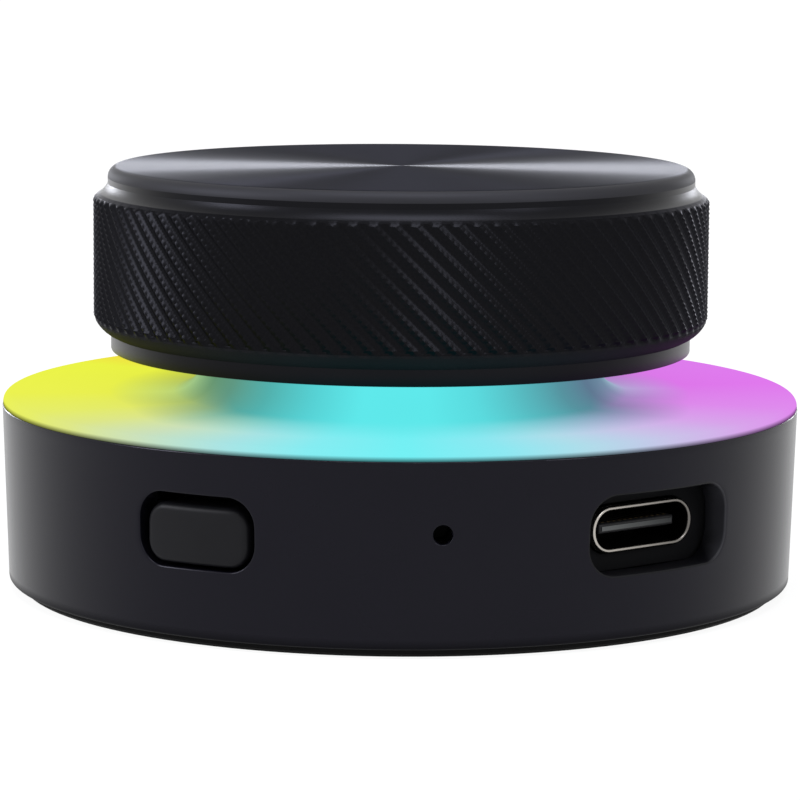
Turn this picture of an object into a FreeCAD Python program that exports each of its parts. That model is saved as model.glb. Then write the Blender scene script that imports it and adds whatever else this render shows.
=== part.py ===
import FreeCAD, Part
import math
import os

import Sketcher

# A round USB volume knob that stands on a table: a low painted drum with a light
# guide over its whole top, and a knurled metal knob that turns and presses above it.
# Millimetres, +Z up. The origin is the centre of the foot's underside. Angles round
# the wall are in degrees, counted from -Y (the pinhole) towards +X.

Vector = FreeCAD.Vector
UP = Vector(0, 0, 1)
LEFT, RIGHT = 1, -1
NEAR = 0.001
SCREWS = 3

doc = FreeCAD.newDocument("volume_knob")
sheet = doc.addObject("Spreadsheet::Sheet", "sizes")

SIZES = [
    # Base wall
    ("foot_proud", 0.6, "height of the wall's lower edge above the table"),
    ("wall_height", 12.55, "wall, lower edge to upper edge"),
    ("base_radius", 28.5, "outside of the wall at its upper edge"),
    ("wall_draft", 0.4, "how far the wall draws in towards its lower edge"),
    ("wall_thickness", 1.7, "wall at its lower edge"),
    ("wall_edge_round", 0.12, "rounding of the wall's upper edge"),
    ("land_width", 3.3, "ledge that carries the light guide"),
    ("land_thickness", 1.2, "thickness of that ledge"),
    ("boss_inset", 2.5, "centre of a cover screw's post inside the wall"),
    ("boss_radius", 2.6, "post for a cover screw"),
    ("pilot_depth", 6.0, "depth of the cover screws' pilot holes"),
    # Bottom cover, foot and ballast
    ("cover_thickness", 2.2, "bottom cover"),
    ("cover_clearance", 0.1, "cover inside the wall"),
    ("cover_rim", 0.75, "cover's rim round the foot's recess"),
    ("foot_recess", 0.4, "depth of the foot's recess in the cover"),
    ("foot_clearance", 0.1, "foot inside its recess"),
    ("foot_inset", 0.8, "foot's edge inside the wall's lower edge"),
    ("foot_edge", 0.2, "chamfer of the foot's lower edge"),
    ("ballast_width", 6.7, "steel ballast ring, edge to bore"),
    ("ballast_post_gap", 0.5, "ballast ring inside the main board's posts"),
    ("ballast_board_gap", 0.45, "ballast ring below the main board"),
    # Screws
    ("screw_shank", 0.8, "radius of the screws' shanks"),
    ("screw_play", 0.05, "play round a shank in its hole"),
    ("cover_screw_head", 1.5, "head radius"),
    ("cover_screw_head_height", 0.9, "head height"),
    ("cover_screw_length", 5.0, "shank length"),
    ("screw_sink", 0.2, "depth of a head below the cover's recess"),
    ("board_screw_head", 1.8, "head radius"),
    ("board_screw_head_height", 1.1, "head height"),
    ("board_screw_length", 2.8, "shank length"),
    ("led_screw_head", 1.4, "head radius"),
    ("led_screw_head_height", 0.9, "head height"),
    ("led_screw_length", 3.4, "shank length"),
    # Main board
    ("board_inset", 2.0, "main board's edge inside the wall"),
    ("board_thickness", 1.2, "main circuit board"),
    ("board_boss_gap", 0.4, "board clear of the cover screws' posts"),
    ("board_post_inset", 5.2, "board screws inside the main board's edge"),
    ("board_post_radius", 2.0, "post under a board screw"),
    ("chip_size", 7.0, "controller, across its sides"),
    ("chip_height", 0.9, "controller"),
    ("chip_x", -13.8, "controller's centre"),
    ("chip_y", 2.8, "controller's centre"),
    ("chip_dot_radius", 0.35, "dimple at the controller's first pin"),
    ("chip_dot_depth", 0.1, "that dimple's depth"),
    ("chip_dot_inset", 0.9, "that dimple from the controller's edges"),
    ("crystal_length", 3.2, "crystal"),
    ("crystal_width", 2.5, "crystal"),
    ("crystal_height", 0.7, "crystal"),
    ("crystal_x", -9.0, "crystal's centre"),
    ("crystal_y", 12.5, "crystal's centre"),
    ("regulator_length", 3.0, "voltage regulator"),
    ("regulator_width", 1.6, "voltage regulator"),
    ("regulator_height", 1.1, "voltage regulator"),
    ("regulator_x", 9.0, "voltage regulator's centre"),
    ("regulator_y", 12.5, "voltage regulator's centre"),
    ("capacitor_length", 1.6, "capacitors"),
    ("capacitor_width", 0.8, "capacitors"),
    ("capacitor_height", 0.8, "capacitors"),
    ("capacitor_pitch", 2.4, "spacing of the row of capacitors"),
    ("capacitor_count", 6, "capacitors in the row"),
    ("capacitor_offset", 4.4, "the row's middle beyond the spacers' circle"),
    # USB-C port
    ("port_angle", 33.0, "the port's place on the wall"),
    ("port_headroom", 0.35, "the port's shell below the light board"),
    ("port_window_width", 12.1, "window in the wall"),
    ("port_window_height", 5.4, "window in the wall"),
    ("port_window_corner", 2.0, "window in the wall"),
    ("bezel_lap", 0.45, "plate round the port, beyond each side of the window"),
    ("bezel_thickness", 0.75, "plate round the port, behind the window"),
    ("bezel_play", 0.1, "that plate inside the wall and round the port"),
    ("port_setback", 0.3, "the port's mouth behind the wall's inside"),
    ("port_width", 8.94, "outside of the port's shell"),
    ("port_height", 3.2, "outside of the port's shell"),
    ("port_length", 7.35, "depth of the port's shell"),
    ("port_wall", 0.31, "sheet of the port's shell"),
    ("port_back", 0.4, "closed end of the port's shell"),
    ("port_foot_out", 0.93, "the shell's solder feet beyond its side"),
    ("port_foot_in", 1.47, "the shell's solder feet under its side"),
    ("port_foot_length", 1.4, "the feet along the port"),
    ("port_foot_height", 0.28, "thickness of the feet"),
    ("port_foot_inset", 1.0, "the feet from the shell's ends"),
    ("tongue_width", 6.7, "the port's tongue"),
    ("tongue_thickness", 0.7, "the port's tongue"),
    ("tongue_setback", 0.6, "the tongue's tip inside the mouth"),
    ("tongue_root", 2.2, "block at the tongue's root"),
    ("tongue_play", 0.02, "that block inside the shell"),
    ("contact_count", 12, "contacts on each side of the tongue"),
    ("contact_pitch", 0.5, "spacing of the contacts"),
    ("contact_width", 0.25, "width of a contact"),
    ("contact_length", 3.2, "length of a contact"),
    ("contact_height", 0.04, "thickness of a contact"),
    ("contact_setback", 0.4, "contacts behind the tongue's tip"),
    # Rotary encoder
    ("encoder_width", 11.8, "case, across its sides"),
    ("encoder_case_height", 5.2, "plastic case"),
    ("encoder_floor", 0.6, "floor of the case"),
    ("dome_room_radius", 3.4, "lower chamber, for the push contact"),
    ("dome_room_height", 1.8, "lower chamber, for the push contact"),
    ("partition", 0.6, "wall between the chambers"),
    ("case_wall", 0.6, "wall beside the upper chamber, for the rotor"),
    ("encoder_plate", 1.0, "metal plate on the case"),
    ("bushing_wall", 0.45, "threaded bushing"),
    ("bushing_length", 7.0, "threaded bushing, above the clip"),
    ("clip_thickness", 0.3, "steel clip over the encoder"),
    ("clip_width", 5.0, "steel clip over the encoder"),
    ("clip_play", 0.05, "clip beside the case"),
    ("lug_width", 2.0, "the clip's lugs through the board"),
    ("lug_drop", 1.7, "the lugs below the board's upper face"),
    ("slot_play", 0.2, "slots round the lugs"),
    ("pin_pitch", 2.5, "spacing of the encoder's pins"),
    ("pin_width", 0.8, "the encoder's pins"),
    ("pin_thickness", 0.3, "the encoder's pins"),
    ("pin_stand", 1.25, "outer face of the pins from the case"),
    ("pin_drop", 1.6, "the pins below the board's upper face"),
    ("pin_hole_radius", 0.55, "holes for the pins"),
    ("washer_width", 2.0, "washer, beyond the bushing"),
    ("washer_thickness", 0.5, "washer"),
    ("nut_wall", 1.5, "nut, from the bushing to its flats"),
    ("nut_height", 2.0, "nut"),
    ("thread_play", 0.05, "nut and washer round the bushing"),
    # Push contact and rotor
    ("press_travel", 0.5, "how far the knob presses down"),
    ("push_gap", 0.05, "free play in the push contact"),
    ("dome_play", 0.4, "push contact's dome inside its chamber"),
    ("dome_height", 1.0, "push contact's dome"),
    ("dome_thickness", 0.15, "push contact's dome"),
    ("flange_play", 0.3, "plunger's flange inside the chamber"),
    ("plunger_flange", 0.6, "plunger's flange"),
    ("plunger_lip", 0.7, "plunger's flange beyond its stem"),
    ("plunger_play", 0.1, "plunger in the partition"),
    ("plunger_height", 1.25, "plunger with its flange"),
    ("rotor_play", 0.4, "rotor inside its chamber"),
    ("rotor_height", 1.2, "rotor"),
    ("rotor_gap", 0.1, "below the wiper"),
    ("wiper_thickness", 0.1, "wiper under the rotor"),
    ("wiper_width", 1.6, "wiper under the rotor"),
    ("wiper_inset", 0.3, "wiper inside the rotor's edge"),
    ("detent_count", 20, "clicks in a turn"),
    ("detent_width", 0.5, "a detent's groove in the rotor"),
    ("detent_depth", 0.25, "a detent's groove in the rotor"),
    # Shaft
    ("shaft_radius", 3.0, "shaft"),
    ("shaft_play", 0.05, "shaft in the bushing and the rotor"),
    ("drive_step", 0.8, "shaft inside the rotor, less than above it"),
    ("drive_flat_depth", 0.5, "depth of the flats there"),
    ("shaft_flat_depth", 1.5, "depth of the D's flat under the knob"),
    ("shaft_reach", 6.5, "shaft above the bushing"),
    ("flat_margin", 0.2, "the D's flat below the hub"),
    ("shaft_edge", 0.4, "chamfer of the shaft's end"),
    ("clip_room_width", 1.15, "recess for the snap ring, beyond the bore"),
    ("clip_room_height", 0.5, "recess for the snap ring in the plate"),
    ("snap_play", 0.3, "snap ring inside its recess"),
    ("snap_groove", 0.4, "depth of the snap ring's groove"),
    ("snap_thickness", 0.4, "snap ring"),
    ("snap_gap", 0.05, "snap ring below the plate"),
    ("shaft_collar", 0.2, "shaft below the snap ring"),
    # Light guide
    ("guide_rim", 0.3, "thickness of the wall's upper edge, round the ledge"),
    ("guide_seat_depth", 1.35, "the ledge below the wall's upper edge"),
    ("guide_play", 0.05, "light guide inside the wall"),
    ("guide_inset", 0.05, "light guide's lip inside the wall's outside"),
    ("guide_proud", 0.7, "light guide above the wall"),
    ("guide_edge_round", 0.55, "rounding of the light guide's edge"),
    ("neck_radius", 14.05, "collar under the knob"),
    ("neck_wall", 1.8, "collar under the knob"),
    ("neck_flare", 2.7, "hollow round at the collar's foot"),
    ("neck_overlap", 1.25, "collar's height inside the knob"),
    ("web_thickness", 1.5, "floor of the collar, under the nut"),
    ("encoder_room", 1.05, "light guide and light board round the encoder's corners"),
    # Light board
    ("led_board_gap", 0.3, "light board inside the cover screws' posts"),
    ("led_board_thickness", 0.8, "light board"),
    ("led_count", 8, "lights in the ring"),
    ("led_start", 22.5, "angle of the first light"),
    ("led_inset", 2.8, "lights inside the light board's edge"),
    ("led_size", 3.5, "a light, across its sides"),
    ("led_height", 1.1, "a light"),
    ("led_lens_radius", 1.3, "a light's round window"),
    ("led_lens_depth", 0.1, "a light's round window"),
    ("led_gap", 0.3, "lights below the light guide"),
    ("spacer_inset", 2.8, "spacers beyond the light board's hole"),
    ("spacer_radius", 1.8, "spacers between the boards"),
    ("link_x", 13.6, "connector between the boards"),
    ("link_length", 8.0, "connector between the boards"),
    ("link_width", 2.2, "connector between the boards"),
    ("link_groove", 0.4, "grooves between its pins"),
    ("link_pitch", 2.0, "spacing of its pins"),
    # Mode button
    ("button_angle", -34.4, "the button's place on the wall"),
    ("button_drop", 2.8, "the window's centre below the ledge"),
    ("button_low", 0.28, "the button's centre below its window's centre"),
    ("button_window_width", 8.8, "window in the wall"),
    ("button_window_height", 5.0, "window in the wall"),
    ("button_window_corner", 1.9, "window in the wall"),
    ("button_side_gap", 0.525, "window beside the button"),
    ("button_end_gap", 0.5, "window above and below the button, were it in the middle"),
    ("button_corner", 1.4, "button"),
    ("button_setback", 0.3, "button's face inside the wall's upper radius"),
    ("button_edge_round", 0.45, "rounding of the button's face"),
    ("ear_lap", 0.8, "ears behind the wall, beyond the window"),
    ("ear_step", 0.35, "ears below and above the button's edges"),
    ("ear_thickness", 0.8, "thickness of the ears"),
    ("button_play", 0.08, "ears behind the wall, at rest"),
    ("button_travel", 0.35, "how far the button presses in"),
    ("switch_width", 7.0, "push switch"),
    ("switch_headroom", 0.15, "switches below the light board"),
    ("switch_depth", 3.6, "push switch"),
    ("switch_front_gap", 1.1, "push switch behind the button"),
    ("stem_width", 2.8, "push switch's stem"),
    ("stem_height", 1.4, "push switch's stem"),
    ("stem_inside", 0.8, "stem inside the switch"),
    ("stem_play", 0.1, "stem in the switch"),
    # Reset switch
    ("pinhole_radius", 0.64, "pinhole in the wall"),
    ("pinhole_drop", 2.3, "pinhole's centre below the ledge"),
    ("reset_width", 4.6, "reset switch"),
    ("reset_depth", 2.2, "reset switch"),
    ("reset_setback", 2.5, "reset switch's face inside the wall"),
    ("reset_stem_radius", 0.55, "reset switch's stem"),
    ("reset_stem_reach", 1.8, "stem out of the reset switch"),
    ("reset_stem_inside", 0.5, "stem inside the reset switch"),
    ("reset_travel", 0.25, "how far the stem presses in"),
    # Knob
    ("knob_gap", 3.1, "knob above the light guide"),
    ("knob_height", 13.1, "knob"),
    ("band_step", 1.25, "plain band at the knob's foot, inside the grip"),
    ("band_height", 1.17, "plain band at the knob's foot"),
    ("grip_radius", 22.0, "knurled grip"),
    ("lower_shoulder_height", 1.34, "bulge under the grip"),
    ("upper_shoulder_height", 0.98, "hollow above the grip"),
    ("lower_shoulder_round", 2.2, "bulge under the grip"),
    ("upper_shoulder_round", 1.7, "hollow above the grip"),
    ("rim_step", 1.05, "rim round the knob's top, inside the grip"),
    ("rim_height", 1.2, "rim round the knob's top"),
    ("rim_round", 0.8, "rounding of the rim's edge"),
    ("knob_wall", 2.0, "knob's wall at its band"),
    ("knob_roof", 2.0, "thickness of the knob's top"),
    # Hub inside the knob
    ("hub_play", 0.05, "hub inside the knob"),
    ("hub_flange", 1.5, "hub's plate"),
    ("hub_skirt", 1.4, "hub's outer wall"),
    ("hub_skirt_height", 5.0, "hub's outer wall"),
    ("hub_boss_wall", 2.2, "hub's socket round the shaft"),
    ("hub_clearance", 0.4, "hub's socket above the bushing, with the knob pressed"),
    ("hub_bore_play", 0.02, "hub round the shaft"),
    ("hub_bore_end", 0.2, "bore beyond the shaft's end"),
    ("rib_count", 6, "ribs of the hub"),
    ("rib_thickness", 1.2, "ribs of the hub"),
    ("rib_height", 3.2, "ribs of the hub"),
]

for row, (alias, size, note) in enumerate(SIZES, 1):
    sheet.set(f"A{row}", alias)
    sheet.set(f"B{row}", str(size))
    sheet.set(f"C{row}", note)
    sheet.setAlias(f"B{row}", alias)
doc.recompute()

# Heights and radii that several pieces share, as expressions on the sheet's cells.
WALL_BOTTOM = "sizes.foot_proud"
WALL_TOP = f"({WALL_BOTTOM} + sizes.wall_height)"
FOOT_OF_WALL = "(sizes.base_radius - sizes.wall_draft)"
INSIDE = f"({FOOT_OF_WALL} - sizes.wall_thickness)"
SEAT_RADIUS = "(sizes.base_radius - sizes.guide_rim)"
SEAT = f"({WALL_TOP} - sizes.guide_seat_depth)"
LAND_INNER = f"({SEAT_RADIUS} - sizes.land_width)"
LAND_BOTTOM = f"({SEAT} - sizes.land_thickness)"
BOSS_CIRCLE = f"({INSIDE} - sizes.boss_inset)"
COVER_RADIUS = f"({INSIDE} - sizes.cover_clearance)"
COVER_TOP = f"({WALL_BOTTOM} + sizes.cover_thickness)"
RECESS_RADIUS = f"({COVER_RADIUS} - sizes.cover_rim)"
RECESS_TOP = f"({WALL_BOTTOM} + sizes.foot_recess)"
FOOT_RADIUS = f"({RECESS_RADIUS} - sizes.foot_clearance)"
SCREW_HOLE = "(sizes.screw_shank + sizes.screw_play)"
HEAD_SEAT = f"({RECESS_TOP} + sizes.screw_sink + sizes.cover_screw_head_height)"

# The boards hang from the light guide's seat, one under the other.
ENCODER_CORNER = "(sizes.encoder_width / sqrt(2))"
ENCODER_ROOM = f"({ENCODER_CORNER} + sizes.encoder_room)"
LED_BOARD_RADIUS = f"({BOSS_CIRCLE} - sizes.boss_radius - sizes.led_board_gap)"
LED_BOARD_TOP = f"({SEAT} - sizes.led_gap - sizes.led_height)"
LED_BOARD_BOTTOM = f"({LED_BOARD_TOP} - sizes.led_board_thickness)"
LED_CIRCLE = f"({LED_BOARD_RADIUS} - sizes.led_inset)"
SPACER_CIRCLE = f"({ENCODER_ROOM} + sizes.spacer_inset)"
PORT_CENTRE = f"({LED_BOARD_BOTTOM} - sizes.port_headroom - sizes.port_height / 2)"
BOARD_TOP = f"({PORT_CENTRE} - sizes.port_height / 2)"
BOARD_BOTTOM = f"({BOARD_TOP} - sizes.board_thickness)"
BOARD_RADIUS = f"({INSIDE} - sizes.board_inset)"
BOARD_POST_CIRCLE = f"({BOARD_RADIUS} - sizes.board_post_inset)"
BALLAST_RADIUS = f"({BOARD_POST_CIRCLE} - sizes.board_post_radius - sizes.ballast_post_gap)"
BALLAST_TOP = f"({BOARD_BOTTOM} - sizes.ballast_board_gap)"
SWITCH_TOP = f"({LED_BOARD_BOTTOM} - sizes.switch_headroom)"
SWITCH_HEIGHT = f"({SWITCH_TOP} - {BOARD_TOP})"

PORT_FACE = f"({INSIDE} - sizes.port_setback)"
PORT_END = f"({PORT_FACE} - sizes.port_length)"
CAVITY_WIDTH = "(sizes.port_width - 2 * sizes.port_wall)"
CAVITY_HEIGHT = "(sizes.port_height - 2 * sizes.port_wall)"
CAVITY_END = f"({PORT_END} + sizes.port_back)"
TONGUE_TIP = f"({PORT_FACE} - sizes.tongue_setback)"
BEZEL_WIDTH = "(sizes.port_window_width + 2 * sizes.bezel_lap)"
BEZEL_HEIGHT = f"(2 * ({LAND_BOTTOM} - {PORT_CENTRE} - sizes.bezel_play))"
BEZEL_FACE = f"(sqrt({INSIDE} ^ 2 - ({BEZEL_WIDTH} / 2) ^ 2) - sizes.bezel_play)"

CASE_TOP = f"({BOARD_TOP} + sizes.encoder_case_height)"
PLATE_TOP = f"({CASE_TOP} + sizes.encoder_plate)"
ENCODER_TOP = f"({PLATE_TOP} + sizes.clip_thickness)"
BUSHING_TOP = f"({ENCODER_TOP} + sizes.bushing_length)"
DOME_FLOOR = f"({BOARD_TOP} + sizes.encoder_floor)"
PARTITION_BOTTOM = f"({DOME_FLOOR} + sizes.dome_room_height)"
ROTOR_FLOOR = f"({PARTITION_BOTTOM} + sizes.partition)"
ROTOR_ROOM = "(sizes.encoder_width / 2 - sizes.case_wall)"
ROTOR_RADIUS = f"({ROTOR_ROOM} - sizes.rotor_play)"
FLANGE_RADIUS = "(sizes.dome_room_radius - sizes.flange_play)"
PLUNGER_RADIUS = f"({FLANGE_RADIUS} - sizes.plunger_lip)"
PLUNGER_BOTTOM = f"({DOME_FLOOR} + sizes.dome_height + sizes.push_gap)"
PLUNGER_TOP = f"({PLUNGER_BOTTOM} + sizes.plunger_height)"
WIPER_RADIUS = f"({ROTOR_RADIUS} - sizes.wiper_inset)"
WIPER_BOTTOM = f"({ROTOR_FLOOR} + sizes.rotor_gap)"
ROTOR_BOTTOM = f"({WIPER_BOTTOM} + sizes.wiper_thickness)"
ROTOR_TOP = f"({ROTOR_BOTTOM} + sizes.rotor_height)"
SHAFT_BOTTOM = f"({PLUNGER_TOP} + sizes.push_gap)"
SNAP_TOP = f"({CASE_TOP} + sizes.clip_room_height - sizes.snap_gap)"
SNAP_BOTTOM = f"({SNAP_TOP} - sizes.snap_thickness)"
SHAFT_STEP = f"({SNAP_BOTTOM} - sizes.shaft_collar)"
SHAFT_TOP = f"({BUSHING_TOP} + sizes.shaft_reach)"
SHAFT_FLAT = "(sizes.shaft_radius - sizes.shaft_flat_depth)"
DRIVE_RADIUS = "(sizes.shaft_radius - sizes.drive_step)"
DRIVE_FLAT = f"({DRIVE_RADIUS} - sizes.drive_flat_depth)"
BORE_RADIUS = "(sizes.shaft_radius + sizes.shaft_play)"
BUSHING_RADIUS = f"({BORE_RADIUS} + sizes.bushing_wall)"
CLIP_ROOM_RADIUS = f"({BORE_RADIUS} + sizes.clip_room_width)"
SNAP_OUTER = f"({CLIP_ROOM_RADIUS} - sizes.snap_play)"
SNAP_INNER = "(sizes.shaft_radius - sizes.snap_groove)"
CLIP_SIDE = "(sizes.encoder_width / 2 + sizes.clip_play)"

# The encoder's pins: three behind the case and two in front of it, in pitches from the middle.
PIN_PLACES = [(-1, 1), (0, 1), (1, 1), (-1, -1), (1, -1)]
PIN_REACH = "(sizes.encoder_width / 2 + sizes.pin_stand)"
PIN_AXIS = f"({PIN_REACH} - sizes.pin_thickness / 2)"

GUIDE_TOP = f"({WALL_TOP} + sizes.guide_proud)"
KNOB_BOTTOM = f"({GUIDE_TOP} + sizes.knob_gap)"
NECK_TOP = f"({KNOB_BOTTOM} + sizes.neck_overlap)"
WEB_TOP = f"({ENCODER_TOP} + sizes.web_thickness)"
WASHER_TOP = f"({WEB_TOP} + sizes.washer_thickness)"
THREAD_HOLE = f"({BUSHING_RADIUS} + sizes.thread_play)"

BUTTON_CENTRE = f"({LAND_BOTTOM} - sizes.button_drop)"
CAP_CENTRE = f"({BUTTON_CENTRE} - sizes.button_low)"
BUTTON_WIDTH = "(sizes.button_window_width - 2 * sizes.button_side_gap)"
BUTTON_HEIGHT = "(sizes.button_window_height - 2 * sizes.button_end_gap)"
BUTTON_FACE = "(sizes.base_radius - sizes.button_setback)"
EAR_WIDTH = "(sizes.button_window_width + 2 * sizes.ear_lap)"
EAR_HEIGHT = f"({BUTTON_HEIGHT} - 2 * sizes.ear_step)"
EAR_FACE = f"(sqrt({INSIDE} ^ 2 - ({EAR_WIDTH} / 2) ^ 2) - sizes.button_play)"
BUTTON_BACK = f"({EAR_FACE} - sizes.ear_thickness)"
SWITCH_FACE = f"({BUTTON_BACK} - sizes.switch_front_gap)"
PINHOLE_CENTRE = f"({LAND_BOTTOM} - sizes.pinhole_drop)"
RESET_FACE = f"({INSIDE} - sizes.reset_setback)"

KNOB_TOP = f"({KNOB_BOTTOM} + sizes.knob_height)"
BAND_RADIUS = "(sizes.grip_radius - sizes.band_step)"
BAND_TOP = f"({KNOB_BOTTOM} + sizes.band_height)"
GRIP_BOTTOM = f"({BAND_TOP} + sizes.lower_shoulder_height)"
RIM_RADIUS = "(sizes.grip_radius - sizes.rim_step)"
RIM_BOTTOM = f"({KNOB_TOP} - sizes.rim_height)"
GRIP_TOP = f"({RIM_BOTTOM} - sizes.upper_shoulder_height)"
KNOB_INSIDE = f"({BAND_RADIUS} - sizes.knob_wall)"
CEILING = f"({KNOB_TOP} - sizes.knob_roof)"
HUB_RADIUS = f"({KNOB_INSIDE} - sizes.hub_play)"
HUB_PLATE = f"({CEILING} - sizes.hub_flange)"
HUB_BOTTOM = f"({BUSHING_TOP} + sizes.press_travel + sizes.hub_clearance)"
HUB_BOSS = "(sizes.shaft_radius + sizes.hub_boss_wall)"


def value(expression):
    """The number that an expression on the sheet's cells comes to."""
    return float(sheet.evalExpression(expression))


def count(alias):
    """A whole number from the sheet."""
    return int(value(f"sizes.{alias}"))


def arc_between(start, end, radius, turn):
    """The shorter arc between two points, which turns left or right on its way."""
    chord = end - start
    rise = math.sqrt(radius ** 2 - (chord.Length / 2) ** 2)
    side = Vector(-chord.y, chord.x, 0).normalize() * (rise * turn)
    centre = (start + end) / 2 + side
    angles = [math.atan2(spot.y - centre.y, spot.x - centre.x) for spot in (start, end)]
    return Part.ArcOfCircle(Part.Circle(centre, UP, radius), *angles[::turn])


class Outline:
    """A sketch whose measures are tied to the sheet."""

    def __init__(self, sketch):
        self.sketch = sketch

    def measure(self, kind, *where, size):
        """Adds a constraint and ties its value to an expression."""
        index = self.sketch.addConstraint(Sketcher.Constraint(kind, *where, value(size)))
        self.sketch.setExpression(f"Constraints[{index}]", size)

    def place(self, edge, spot, x, y):
        """Holds an edge's end, or its centre, at x and y."""
        self.measure("DistanceX", -1, 1, edge, spot, size=x)
        self.measure("DistanceY", -1, 1, edge, spot, size=y)

    def corners(self, *points):
        """A closed outline through points (x, y). A point (x, y, radius, turn) is left
        along an arc instead of a straight edge."""
        spots = [Vector(value(point[0]), value(point[1]), 0) for point in points]
        first = self.sketch.GeometryCount
        ends = []
        for index, point in enumerate(points):
            start, end = spots[index], spots[(index + 1) % len(spots)]
            if len(point) == 2:
                self.sketch.addGeometry(Part.LineSegment(start, end), False)
                ends.append((1, 2))
            else:
                arc = arc_between(start, end, value(point[2]), point[3])
                self.sketch.addGeometry(arc, False)
                ends.append((1, 2)[::point[3]])
        for index, point in enumerate(points):
            after = (index + 1) % len(points)
            joint = (first + index, ends[index][1], first + after, ends[after][0])
            self.sketch.addConstraint(Sketcher.Constraint("Coincident", *joint))
            self.place(first + index, ends[index][0], point[0], point[1])
            if len(point) > 2:
                self.measure("Radius", first + index, size=point[2])
        return self

    def circle(self, radius, x="0", y="0"):
        """A circle."""
        centre = Vector(value(x), value(y), 0)
        edge = self.sketch.addGeometry(Part.Circle(centre, UP, value(radius)), False)
        self.place(edge, 3, x, y)
        self.measure("Radius", edge, size=radius)
        return self

    def rectangle(self, width, height, x="0", y="0"):
        """A rectangle about a centre."""
        low_x, high_x = f"{x} - {width} / 2", f"{x} + {width} / 2"
        low_y, high_y = f"{y} - {height} / 2", f"{y} + {height} / 2"
        return self.corners((low_x, low_y), (high_x, low_y), (high_x, high_y), (low_x, high_y))

    def rounded(self, width, height, radius, y):
        """A rectangle with rounded corners, about a centre on the sketch's upright axis."""
        side, end = f"{width} / 2", f"({width} / 2 - {radius})"
        low, high = f"{y} - {height} / 2", f"{y} + {height} / 2"
        return self.corners(
            (f"-{end}", low),
            (end, low, radius, LEFT),
            (side, f"{low} + {radius}"),
            (side, f"{high} - {radius}", radius, LEFT),
            (end, high),
            (f"-{end}", high, radius, LEFT),
            (f"-{side}", f"{high} - {radius}"),
            (f"-{side}", f"{low} + {radius}", radius, LEFT),
        )

    def obround(self, width, height, y="0"):
        """A rectangle with fully round ends, about a centre on the sketch's upright axis."""
        reach, radius, rise = value(width) / 2 - value(height) / 2, value(height) / 2, value(y)
        quarter = math.pi / 2
        right = Part.Circle(Vector(reach, rise, 0), UP, radius)
        left = Part.Circle(Vector(-reach, rise, 0), UP, radius)
        top = (Vector(reach, rise + radius, 0), Vector(-reach, rise + radius, 0))
        foot = (Vector(-reach, rise - radius, 0), Vector(reach, rise - radius, 0))
        first = self.sketch.GeometryCount
        self.sketch.addGeometry(Part.ArcOfCircle(right, -quarter, quarter), False)
        self.sketch.addGeometry(Part.LineSegment(*top), False)
        self.sketch.addGeometry(Part.ArcOfCircle(left, quarter, 3 * quarter), False)
        self.sketch.addGeometry(Part.LineSegment(*foot), False)
        for index in range(4):
            joint = (first + index, 2, first + (index + 1) % 4, 1)
            self.sketch.addConstraint(Sketcher.Constraint("Tangent", *joint))
        self.sketch.addConstraint(Sketcher.Constraint("Equal", first, first + 2))
        self.measure("Radius", first, size=f"{height} / 2")
        self.place(first, 3, f"({width} - {height}) / 2", y)
        self.place(first + 2, 3, f"-({width} - {height}) / 2", y)
        return self


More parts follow.
